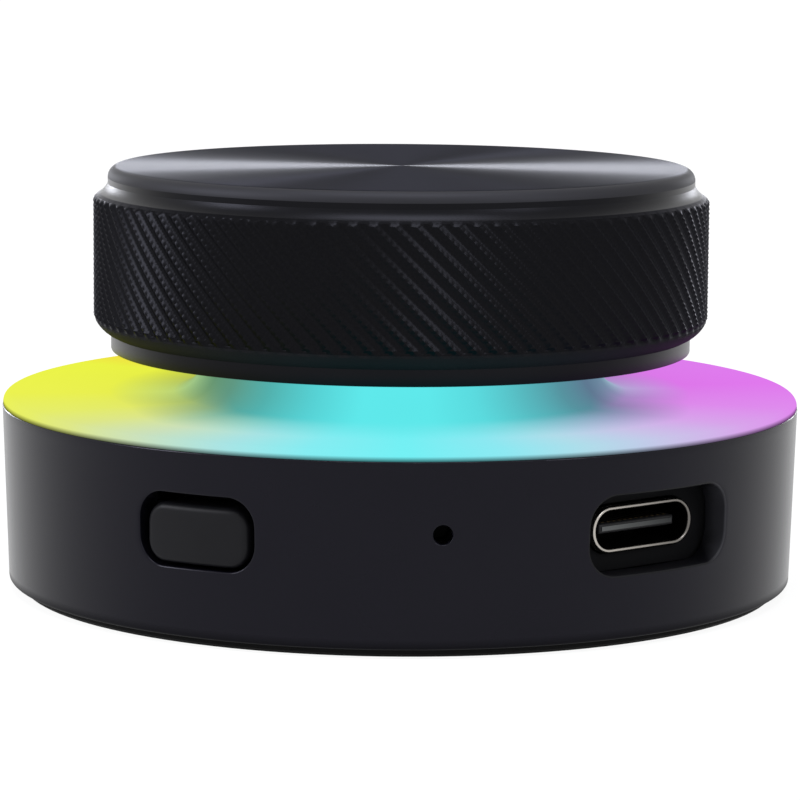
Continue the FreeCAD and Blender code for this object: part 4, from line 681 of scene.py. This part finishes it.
# %% The knurl's relief
RIDGES = 98
STEPS_PER_RIDGE = 8
STEPS_PER_NICK = 4
RIDGE_DEPTH = 0.30
VALLEY = 0.75
NICK_DEPTH = 0.06
TEETH_FROM = BAND_TOP + 0.90
RUN_OUT = 0.35
COLUMNS = RIDGES * STEPS_PER_RIDGE
STEP = 2 * math.pi * GRIP_RADIUS / COLUMNS
ROWS = round((RIM_BOTTOM - BAND_TOP) / STEP)


def groove(place):
    """0 on a crest, at each whole number, and 1 in the valley half way to the next."""
    return 2 * np.abs(place - np.round(place))


METAL, RELIEF, TOP, EDGE, MATT = range(5)


def row_height(row):
    """How high a row of the grip's grid lies."""
    return BAND_TOP + (RIM_BOTTOM - BAND_TOP) * row / ROWS


def knurl_ring(row):
    """The points of one level of the grip."""
    height = row_height(row)
    column = np.arange(COLUMNS)
    ridges = RIDGE_DEPTH * np.minimum(groove((column + row) / STEPS_PER_RIDGE), VALLEY)
    nicks = NICK_DEPTH * groove((column - row) / STEPS_PER_NICK)
    start = np.clip((height - TEETH_FROM) / RUN_OUT, 0, 1)
    relief = np.maximum(ridges, nicks) * start
    radius = np.minimum(bulge_radius(height) - relief, hollow_radius(height))
    turn = 2 * math.pi * column / COLUMNS
    return zip(radius * np.sin(turn), -radius * np.cos(turn), [height] * COLUMNS)


def knurl(skin):
    """The grip, each cell split along the crease that crosses it, with the smooth shoulder
    above and the smooth bulge below."""
    levels = [skin.ring(knurl_ring(row)) for row in range(ROWS + 1)]
    for row, (low, high) in enumerate(zip(levels, levels[1:])):
        cut_off = hollow_radius(row_height(row)) < GRIP_RADIUS - RIDGE_DEPTH
        finish = MATT if row_height(row) < TEETH_FROM else METAL if cut_off else RELIEF
        for column in range(COLUMNS):
            after = (column + 1) % COLUMNS
            a, b, c, d = low[column], low[after], high[after], high[column]
            halves = ((a, b, d), (b, c, d)) if (column - row) % 2 else ((a, b, c), (a, c, d))
            for half in halves:
                skin.face(half, finish)
    return levels


# %% The knob's skin
def make_knob():
    """The whole turned knob as one closed skin."""
    skin = Skin()
    grip = knurl(skin)
    hollow = [
        (0, CEILING), (KNOB_INSIDE, CEILING),
        (KNOB_INSIDE, KNOB_BOTTOM + EDGE_BREAK), (KNOB_INSIDE + EDGE_BREAK, KNOB_BOTTOM),
        (BAND_RADIUS - EDGE_BREAK, KNOB_BOTTOM),
        (BAND_RADIUS - 0.3 * EDGE_BREAK, KNOB_BOTTOM + 0.3 * EDGE_BREAK),
        (BAND_RADIUS, KNOB_BOTTOM + EDGE_BREAK),
    ]
    skin.bridge(turned(skin, hollow, COLUMNS, METAL, closed=False)[-1], grip[0], METAL)
    centre = (RIM_RADIUS - RIM_ROUND, KNOB_TOP - RIM_ROUND)
    wall = [(RIM_RADIUS, RIM_BOTTOM + 0.02), (RIM_RADIUS, KNOB_TOP - RIM_ROUND)]
    face = arc(centre, RIM_ROUND, 78, 90, 3) + [(radius, KNOB_TOP) for radius in FACE_RINGS]
    before = grip[-1]
    for profile, finish in ((wall, METAL), (arc(centre, RIM_ROUND, 6, 72, 10), EDGE), (face, TOP)):
        rings = turned(skin, profile, COLUMNS, finish, closed=False)
        skin.bridge(before, rings[0], finish)
        before = rings[-1]
    skin.make("turned_knob", "knob", "black_anodised", "knob_shell",
              ANODISED, KNURLED, SPUN, RIM_WITH_PAINTED_SHEEN, MATT_BLACK, crease=24.0)


make_knob()
print("knurl:", RIDGES, "ridges", round(STEP * STEPS_PER_RIDGE, 2), "mm apart,", ROWS, "rows")

# %% [markdown]
# ## The light guide
# A frosted plastic disc covers the whole top of the base and rises in a hollow round into a
# collar under the knob. It is a plain turned shape, drawn as a profile. The colour comes from
# the finish, as light that fills the plastic from below.

# %% Turn the light guide
GUIDE_TOP = WALL_TOP + 0.7
GUIDE_EDGE = 0.55
GUIDE_RINGS = (26.0, 23.0, 20.0)
SPIGOT_RADIUS = GUIDE_RADIUS - 0.3
NECK_RADIUS = 14.05
NECK_FLARE = 2.7
NECK_INSIDE = NECK_RADIUS - 1.8
NECK_TOP = highest("light_guide").z
NECK_BREAK = 0.2
ENCODER_TOP = highest("encoder_clip").z
COLLAR_FLOOR = ENCODER_TOP + 1.5
THREAD_HOLE = 3.55
ENCODER_ROOM = 9.39
GUIDE_STEPS = 288


def make_light_guide():
    """The disc with its collar."""
    profile = [
        (THREAD_HOLE, ENCODER_TOP), (ENCODER_ROOM, ENCODER_TOP), (ENCODER_ROOM, GUIDE_SEAT),
        (SPIGOT_RADIUS, GUIDE_SEAT), (SPIGOT_RADIUS, WALL_TOP), (GUIDE_RADIUS, WALL_TOP),
        *arc((GUIDE_RADIUS - GUIDE_EDGE, GUIDE_TOP - GUIDE_EDGE), GUIDE_EDGE, 0, 90, 10),
        *[(radius, GUIDE_TOP) for radius in GUIDE_RINGS],
        *arc((NECK_RADIUS + NECK_FLARE, GUIDE_TOP + NECK_FLARE), NECK_FLARE, -90, -180, 16),
        (NECK_RADIUS, NECK_TOP - NECK_BREAK), (NECK_RADIUS - NECK_BREAK, NECK_TOP),
        (NECK_INSIDE, NECK_TOP), (NECK_INSIDE, COLLAR_FLOOR), (THREAD_HOLE, COLLAR_FLOOR),
    ]
    skin = Skin()
    turned(skin, profile, GUIDE_STEPS)
    skin.make("frosted_guide", "base", "frosted_guide", "light_guide", GLOW)


make_light_guide()

# %% [markdown]
# ## The painted drum
# The wall leans out a little towards its top and has three openings: a window for the button,
# a pinhole and a window for the port. A boolean cut would leave long thin faces round each, and
# those show in satin paint as crooked reflections. So the openings are woven into the grid:
# each takes out a block of cells and fills it with loops, from the block's border to its own
# outline. A small rounding then leads inside.

# %% Outlines of windows
def rounded_outline(width, height, corner, steps):
    """Points round a rounded rectangle, anticlockwise from the middle of its lower left
    corner. The steps are how many it has along its foot and up a side."""
    corner = min(corner, width / 2, height / 2)
    reaches = [width / 2 - corner, height / 2 - corner]
    ways = [((1, 0), (0, -1)), ((0, 1), (1, 0)), ((-1, 0), (0, 1)), ((0, -1), (-1, 0))]
    points = []
    for count, (along, out) in zip(steps * 2, ways):
        reach, stand = reaches if along[0] else reaches[::-1]
        length = 2 * reach + math.pi / 2 * corner
        for k in range(count):
            run = length * k / count - length / 2
            straight = min(max(run, -reach), reach)
            turn = (run - straight) / corner
            forward = straight + corner * math.sin(turn)
            away = stand + corner * math.cos(turn)
            points.append([a * forward + o * away for a, o in zip(along, out)])
    return points


class Opening:
    """A window at a turn in degrees and a height. It takes the grid's cells as far as its
    half_turn on each side."""

    def __init__(self, turn, height, width, tall, corner, half_turn=0.0):
        self.turn, self.height, self.half_turn = turn, height, half_turn
        self.width, self.tall, self.corner = width, tall, corner

    def outline(self, grow, steps):
        """The window's outline (x, z), grown by a margin."""
        grown = (self.width + 2 * grow, self.tall + 2 * grow, self.corner + grow)
        return [(x, self.height + z) for x, z in rounded_outline(*grown, steps)]

    def place(self, x, depth, z):
        """A point from the window's own x, its distance along the window's way, and z."""
        sine, cosine = math.sin(math.radians(self.turn)), math.cos(math.radians(self.turn))
        return (depth * sine + x * cosine, -depth * cosine + x * sine, z)

    def flat(self, skin, grow, depth, steps):
        """A ring of the outline in a plane square to the window's way."""
        return skin.ring([self.place(x, depth, z) for x, z in self.outline(grow, steps)])

    def bent(self, skin, places, radius_at, inset):
        """A ring that follows a round wall, inside it by an inset."""
        spots = [(x, math.sqrt(radius_at(z) ** 2 - x ** 2) - inset, z) for x, z in places]
        return skin.ring([self.place(*spot) for spot in spots])

    def middle(self, skin, depth):
        """A ring of one point, in the middle of the window."""
        return skin.ring([self.place(0, depth, self.height)])

    def box(self, skin, low, high, finish=0):
        """A block between two corners, square to the window's way."""
        ends = [(low[0], low[1]), (high[0], low[1]), (high[0], high[1]), (low[0], high[1])]
        foot, top = (skin.ring([self.place(*end, z) for end in ends]) for z in (low[2], high[2]))
        skin.bridge(foot, top, finish)
        skin.face(foot[::-1], finish)
        skin.face(top, finish)


# %% The woven wall
WALL_COLUMNS = 360
COLUMN = 360 / WALL_COLUMNS
LOOPS = (0.0, 0.12, 0.3, 0.55, 0.8)
CLEAR_BELOW, CLEAR_ABOVE = 0.15, 0.05
WALL_TURNS = [(column + 0.5) * COLUMN for column in range(WALL_COLUMNS)]


def level(skin, radius, height):
    """A whole ring of the wall's columns."""
    return skin.ring([around(math.radians(turn), radius, height) for turn in WALL_TURNS])


def block(opening, levels, grow):
    """The columns and the rows of cells that an opening takes the place of."""
    first = round((opening.turn - opening.half_turn) / COLUMN - 0.5)
    last = round((opening.turn + opening.half_turn) / COLUMN - 0.5)
    reach = opening.tall / 2 + grow
    foot, head = opening.height - reach - CLEAR_BELOW, opening.height + reach + CLEAR_ABOVE
    low, high = np.searchsorted(levels, (foot, head)) - (1, 0)
    return range(first, last), range(low, high)


def weave(skin, radius_at, levels, rings, opening, columns, rows, grow):
    """Loops from an opening's outline to the border of its block. It gives the first."""
    border = [(column, rows[0]) for column in columns]
    border += [(columns[-1] + 1, row) for row in rows]
    border += [(column + 1, rows[-1] + 1) for column in columns[::-1]]
    border += [(columns[0], row + 1) for row in rows[::-1]]
    outline = np.array([(opening.turn + math.degrees(math.asin(x / radius_at(z))), z)
                        for x, z in opening.outline(grow, (len(columns), len(rows)))])
    ends = np.array([(WALL_TURNS[0] + column * COLUMN, levels[row]) for column, row in border])
    loops = []
    for share in LOOPS:
        spots = outline + (ends - outline) * share
        loops.append(skin.ring([around(math.radians(t), radius_at(z), z) for t, z in spots]))
    loops.append([rings[row][column % WALL_COLUMNS] for column, row in border])
    skin.loft(loops)
    return loops[0]


def wall_skin(skin, radius_at, levels, openings, grow):
    """A round wall with windows. It gives its lowest ring, its highest ring and the rings
    round its windows, each with the steps of its block."""
    rings = [level(skin, radius_at(height), height) for height in levels]
    taken, mouths = set(), []
    for opening in openings:
        columns, rows = block(opening, levels, grow)
        taken |= {(column % WALL_COLUMNS, row) for column in columns for row in rows}
        mouth = weave(skin, radius_at, levels, rings, opening, columns, rows, grow)
        mouths.append((mouth, (len(columns), len(rows))))
    for row, (low_ring, high_ring) in enumerate(zip(rings, rings[1:])):
        for column in range(WALL_COLUMNS):
            after = (column + 1) % WALL_COLUMNS
            if (column, row) not in taken:
                skin.face((low_ring[column], low_ring[after], high_ring[after], high_ring[column]))
    return rings[0], rings[-1], mouths


# %% The drum's skin
DRAFT = 0.4
INSIDE = 26.4
SEAT_RADIUS = 28.2
LEDGE_RADIUS = 24.9
LEDGE_BOTTOM = GUIDE_SEAT - 1.2
TOP_BREAK = 0.12
FOOT_BREAK = 0.25
WINDOW_ROUND = 0.14
ROUND_STEPS = 4
OVERLAP = 0.02
OUTER_LEVELS, INNER_LEVELS = 25, 17
POSTS, POST_AT = 3, 23.9
POST_RADIUS, POST_BOTTOM, POST_TOP = 2.6, 2.8, LEDGE_BOTTOM + 0.1
SCREW_HOLE, SCREW_REACH = 0.85, 8.8
BUTTON_TURN, WINDOW_HEIGHT, CAP_HEIGHT = -34.4, 7.8, 7.52
PORT_TURN, PORT_HEIGHT = 33.0, 7.65
PINHOLE_HEIGHT = 8.3
OPENINGS = [
    Opening(BUTTON_TURN, WINDOW_HEIGHT, 8.8, 5.0, 1.9, 14),
    Opening(0.0, PINHOLE_HEIGHT, 1.28, 1.28, 0.64, 4.5),
    Opening(PORT_TURN, PORT_HEIGHT, 12.1, 5.4, 2.0, 17),
]


def wall_radius(height):
    """The wall's outside at a height."""
    return WALL_RADIUS - DRAFT * (WALL_TOP - height) / (WALL_TOP - WALL_BOTTOM)


def make_drum():
    """The drum, with its ledge for the light guide and its three posts."""
    skin = Skin()
    foot_at, top_at = WALL_BOTTOM + FOOT_BREAK, WALL_TOP - TOP_BREAK
    outer_levels = np.linspace(foot_at, top_at, OUTER_LEVELS)
    inner_levels = np.linspace(WALL_BOTTOM, LEDGE_BOTTOM, INNER_LEVELS)
    outer_foot, outer_top, outer_mouths = wall_skin(
        skin, wall_radius, outer_levels, OPENINGS, WINDOW_ROUND)
    inner_foot, inner_top, inner_mouths = wall_skin(
        skin, lambda height: INSIDE, inner_levels, OPENINGS, 0.0)

    foot = arc((wall_radius(foot_at) - FOOT_BREAK, foot_at), FOOT_BREAK, 0, -90, 4)[1:]
    skin.loft([outer_foot, *[level(skin, *place) for place in foot], inner_foot])
    top = arc((wall_radius(top_at) - TOP_BREAK, top_at), TOP_BREAK, 0, 90, 3)[1:]
    top += [(SEAT_RADIUS, WALL_TOP), (SEAT_RADIUS, GUIDE_SEAT)]
    top += [(LEDGE_RADIUS, GUIDE_SEAT), (LEDGE_RADIUS, LEDGE_BOTTOM)]
    skin.loft([outer_top, *[level(skin, *place) for place in top], inner_top])

    for opening, outer, inner in zip(OPENINGS, outer_mouths, inner_mouths):
        line_window(skin, opening, *outer, inner[0], int(opening.turn == PORT_TURN))
    for post in range(POSTS):
        turn = 2 * math.pi * post / POSTS
        centre = (POST_AT * math.sin(turn), POST_AT * math.cos(turn))
        outside = [(SCREW_HOLE, POST_BOTTOM), (POST_RADIUS, POST_BOTTOM), (POST_RADIUS, POST_TOP)]
        hole = [(0, POST_TOP), (0, SCREW_REACH), (SCREW_HOLE, SCREW_REACH)]
        turned(skin, outside + hole, 40, centre=centre)
    skin.make("painted_drum", "base", "black_paint", "base_housing", PAINT, WINDOW_EDGE)


def line_window(skin, opening, mouth, steps, inner_ring, finish):
    """The window's own walls, from the rounding at its mouth to the inside of the drum."""
    loops = [mouth]
    for step in range(1, ROUND_STEPS + 1):
        bend = math.pi / 2 * step / ROUND_STEPS
        outline = opening.outline(WINDOW_ROUND * (1 - math.sin(bend)), steps)
        loops.append(opening.bent(skin, outline, wall_radius, WINDOW_ROUND * (1 - math.cos(bend))))
    loops.append(opening.bent(skin, outline, lambda height: INSIDE, -OVERLAP))
    skin.loft(loops, finish)
    weld(skin, loops[-1], inner_ring)


def weld(skin, ring, other):
    """Joins two rings of unlike counts with a strip of triangles."""
    places = np.array([skin.points[k] for k in ring])
    others = np.array([skin.points[k] for k in other])
    nearest = [int(np.argmin(((others - place) ** 2).sum(1))) for place in places]
    for k in range(len(ring)):
        after = (k + 1) % len(ring)
        start, end = nearest[k], nearest[after]
        skin.face((ring[k], ring[after], other[start]))
        while start != end:
            following = (start + 1) % len(other)
            skin.face((ring[after], other[following], other[start]))
            start = following


make_drum()

# %% [markdown]
# ## The mode button
# The button fills its window but for a dark gap all round. Its face follows the drum's curve
# and its edge is well rounded, because that edge catches the light. It is lofted from outlines:
# the sides, the rounding, then rings that shrink to the middle of the face. Ears behind the
# wall keep it from falling out.

# %% Loft the button
BUTTON_WIDTH, BUTTON_TALL, BUTTON_CORNER = 7.75, 4.0, 1.4
BUTTON_FACE = WALL_RADIUS - 0.3
BUTTON_ROUND = 0.45
BUTTON_BACK = 25.01
EAR_FRONT, EAR_BACK = 25.8, 25.0
EAR_HALF, EAR_TALL = 5.2, 3.3


def make_button():
    """The button's cap with its ears."""
    skin = Skin()
    cap = Opening(BUTTON_TURN, CAP_HEIGHT, BUTTON_WIDTH, BUTTON_TALL, BUTTON_CORNER)
    steps = (34, 18)

    def crown(places, inset):
        return cap.bent(skin, places, lambda height: BUTTON_FACE, inset)

    back = cap.flat(skin, 0.0, BUTTON_BACK, steps)
    loops = [back]
    for step in range(7):
        bend = math.pi / 2 * step / 6
        outline = cap.outline(-BUTTON_ROUND * (1 - math.cos(bend)), steps)
        loops.append(crown(outline, BUTTON_ROUND * (1 - math.sin(bend))))
    for share in (0.8, 0.55, 0.3, 0.1):
        shrunk = [(x * share, CAP_HEIGHT + (z - CAP_HEIGHT) * share) for x, z in outline]
        loops.append(crown(shrunk, 0.0))
    skin.loft([*loops, cap.middle(skin, BUTTON_FACE)])
    skin.bridge(back, cap.middle(skin, BUTTON_BACK))
    low = (-EAR_HALF, EAR_BACK, CAP_HEIGHT - EAR_TALL / 2)
    high = (EAR_HALF, EAR_FRONT, CAP_HEIGHT + EAR_TALL / 2)
    cap.box(skin, low, high)
    skin.make("button_cap", "mode_button", "black_plastic", "mode_button_cap", BUTTON_PLASTIC)


make_button()

# %% [markdown]
# ## The USB-C port
# The shell is deep-drawn steel, bent to a half-round lip at its mouth. That lip is the one
# bright line on the front, so it is modelled, not left to a bevel. Inside, the tongue carries
# twelve contacts on each face. Its nose is steel, where the plate inside it shows.

# %% Loft the port's shell and tongue
PORT_FACE, PORT_BACK = 26.1, 18.75
PORT_WIDTH, PORT_TALL = 8.94, 3.2
PORT_WALL = 0.31
CAVITY_BACK = PORT_BACK + 0.4
FEET_AT, FOOT_HALF, FOOT_TALL = (19.75, 22.8), 0.7, 0.28
FOOT_FROM, FOOT_TO = 3.0, 5.4
ROOT_FRONT = CAVITY_BACK + 2.2
ROOT_WIDTH, ROOT_TALL = 8.28, 2.54
TONGUE_TIP = PORT_FACE - 0.6
TONGUE_WIDTH, TONGUE_TALL, TONGUE_CORNER = 6.7, 0.7, 0.08
TONGUE_ROUND = 0.16
NOSE_REACH, NOSE_TALL, NOSE_INSET = 0.06, 0.30, 0.2
BOARD_TOP = highest("main_board").z


def make_port_shell():
    """The drawn shell with its lip and solder feet."""
    skin = Skin()
    port = Opening(PORT_TURN, PORT_HEIGHT, PORT_WIDTH, PORT_TALL, PORT_TALL / 2)
    half = PORT_WALL / 2

    def loop(grow, depth):
        return port.flat(skin, grow, depth, (34, 22))

    lip = [loop(0.0, PORT_BACK)]
    for bend in np.linspace(0, math.pi, 9):
        lip.append(loop(-half + half * math.cos(bend), PORT_FACE - half + half * math.sin(bend)))
    cavity = [lip[-1], loop(-PORT_WALL, CAVITY_BACK)]
    skin.loft(lip)
    skin.loft(cavity, 1)
    skin.bridge(lip[0], port.middle(skin, PORT_BACK), 1)
    skin.bridge(cavity[-1], port.middle(skin, CAVITY_BACK), 1)
    for near, far in ((-FOOT_TO, -FOOT_FROM), (FOOT_FROM, FOOT_TO)):
        for depth in FEET_AT:
            low = (near, depth - FOOT_HALF, BOARD_TOP)
            high = (far, depth + FOOT_HALF, BOARD_TOP + FOOT_TALL)
            port.box(skin, low, high)
    skin.make("port_shell", "base", "steel", "usb_port_shell", PORT_STEEL, PORT_STEEL_IN_PAINTED_SHADE)


def make_port_tongue():
    """The tongue on its root block, with the nose of the steel plate inside it."""
    skin = Skin()
    root = Opening(PORT_TURN, PORT_HEIGHT, ROOT_WIDTH, ROOT_TALL, ROOT_TALL / 2)
    blade = Opening(PORT_TURN, PORT_HEIGHT, TONGUE_WIDTH, TONGUE_TALL, TONGUE_CORNER)
    tip = TONGUE_TIP - NOSE_REACH

    def block_of(shape, places):
        """A closed block through outlines of (margin, depth)."""
        loops = [shape.flat(skin, grow, depth, (24, 12)) for grow, depth in places]
        skin.loft(loops)
        skin.bridge(loops[0], shape.middle(skin, places[0][1]))
        skin.bridge(loops[-1], shape.middle(skin, places[-1][1]))

    block_of(root, [(0.0, CAVITY_BACK), (0.0, ROOT_FRONT)])
    rounding = [(TONGUE_ROUND * (math.cos(bend) - 1), tip + TONGUE_ROUND * (math.sin(bend) - 1))
                for bend in np.linspace(0, math.pi / 2, 5)]
    block_of(blade, [(0.0, ROOT_FRONT - 0.05), *rounding])
    low = (NOSE_INSET - TONGUE_WIDTH / 2, tip - NOSE_INSET, PORT_HEIGHT - NOSE_TALL / 2)
    high = (TONGUE_WIDTH / 2 - NOSE_INSET, TONGUE_TIP, PORT_HEIGHT + NOSE_TALL / 2)
    blade.box(skin, low, high, 1)
    skin.make("port_tongue", "base", "dark_insulator", "usb_port_tongue", INSULATOR, TONGUE_STEEL)


make_port_shell()
make_port_tongue()

# %% [markdown]
# ## Finishes of the other pieces
# The rest of the CAD already has its right shape. Those nodes stay, and each gets a finish:
# tracks under a green mask, moulded resin, plated pins, zinc on steel, or milky nylon where
# things slide.

# %% Boards, metals and mouldings
def circuit_board():
    """Glass fibre under a dark green mask, with tracks and vias just showing through."""
    finish = Finish("circuit_board", specular_ior_level=0.5)
    grid = {"Vector": finish.place(), "Scale": 900.0}
    tracks = finish.node("TexVoronoi", {"distance": "MANHATTAN", "feature": "F1"}, grid)
    lines = ((tracks - 0.30) * 12.0).limit() * ((0.42 - tracks) * 12.0).limit()
    cloud = finish.noise(3.0)
    board = mix(cloud, (0.006, 0.040, 0.018), (0.010, 0.055, 0.026))
    return finish.done(mix(lines, board, (0.035, 0.110, 0.050)), 0.32 + cloud * 0.08, lines, 0.02)


def plated(name, dark, light, roughness):
    """Plated or zinc-coated metal, slightly clouded."""
    cloud = (1.2, 4.0, 0.6)
    return clouded(name, cloud, dark, light, roughness, 0.12, 0.08, 0.002, metallic=1.0)


ZINC_STEEL = plated("zinc_steel", (0.50, 0.51, 0.52), (0.62, 0.63, 0.64), 0.28)
BRASS = plated("plated_brass", (0.62, 0.44, 0.16), (0.74, 0.56, 0.26), 0.26)
# Painted shade: the gold is darkened, as the contacts sit deep in the port.
GOLD_IN_PAINTED_SHADE = plated("gold_contacts_shaded", (0.045, 0.032, 0.014), (0.070, 0.050, 0.022), 0.30)
CHIP_RESIN = moulded("chip_resin", (0.012, 0.012, 0.013), (0.020, 0.020, 0.021), 0.5, 0.08)
CERAMIC = moulded("ceramic", (0.32, 0.24, 0.16), (0.42, 0.33, 0.23), 0.4, 0.1, 0.004)
NYLON = moulded("milky_nylon", (0.62, 0.62, 0.60), (0.72, 0.72, 0.70), 0.45, 0.25, level=0.5)
DARK_STEM = moulded("dark_stem", 0.003, 0.005, 0.5, 0.2, 0.004, 0.04)
LIGHT_CASE = clouded("white_light_case", (0.8,), (0.72, 0.70, 0.62), (0.80, 0.79, 0.74),
                     0.35, 0.1, 0.8, 0.01, specular_ior_level=0.5)

# %% Finish the CAD nodes, where a ? stands for a number
NODE_FINISHES = [
    (circuit_board(), "main_board led_board"),
    (CHIP_RESIN, "controller_chip voltage_regulator"),
    (CERAMIC, "board_capacitors"),
    (ZINC_STEEL, "ballast_ring encoder_clip shaft_snap_ring encoder_shaft board_crystal"),
    (ZINC_STEEL, "cover_screw_? board_screw_? led_screw_?"),
    (BRASS, "encoder_bushing encoder_pins encoder_washer encoder_nut encoder_wiper led_spacer_?"),
    (GOLD_IN_PAINTED_SHADE, "usb_port_contacts"),
    (NYLON, "encoder_rotor push_plunger mode_switch_stem knob_hub"),
    (DARK_STEM, "reset_stem"),
    (LIGHT_CASE, "led_?"),
    (SILICONE, "foot_pad"),
    (BEZEL_BLACK, "port_bezel"),
    (BLACK_PLASTIC, "bottom_cover encoder_case mode_switch_body reset_switch_body board_link"),
]
dressed = 0
for finish, patterns in NODE_FINISHES:
    for name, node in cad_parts.items():
        if any(fnmatch(name, pattern) for pattern in patterns.split()):
            node.data.materials.clear()
            node.data.materials.append(finish)
            dressed += 1
print("CAD nodes with a finish of their own:", dressed, "of", len(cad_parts))

# %% [markdown]
# ## The snap dome
# Deep inside the encoder a thin steel dome is the spring of the push contact. It is the one
# piece that changes shape: the plunger flattens it by half when the knob is pressed.

# %% Turn the snap dome
DOME_THICK = 0.15
DOME_STEPS = 48


def dome_arc(reach, rise, floor):
    """The arc of a shallow dome, from its rim to its crown."""
    radius = (reach ** 2 + rise ** 2) / (2 * rise)
    spread = math.degrees(math.asin(reach / radius))
    return arc((0, floor + rise - radius), radius, 90 - spread, 90, 8)[:-1] + [(0, floor + rise)]


def make_dome():
    """A thin stamped shell, turned from two arcs, with a mesh of its own."""
    low, high = lowest("push_dome"), highest("push_dome")
    reach, rise, floor = high.x, high.z - low.z, low.z
    skin = Skin()
    crown, hollow = (
        turned(skin, dome_arc(reach - inset, rise - inset, floor), DOME_STEPS, closed=False)
        for inset in (0.0, DOME_THICK))
    skin.bridge(crown[0], hollow[0])
    dome = skin.make("snap_dome", "base", "steel", "push_dome", ZINC_STEEL)
    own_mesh(dome)


make_dome()
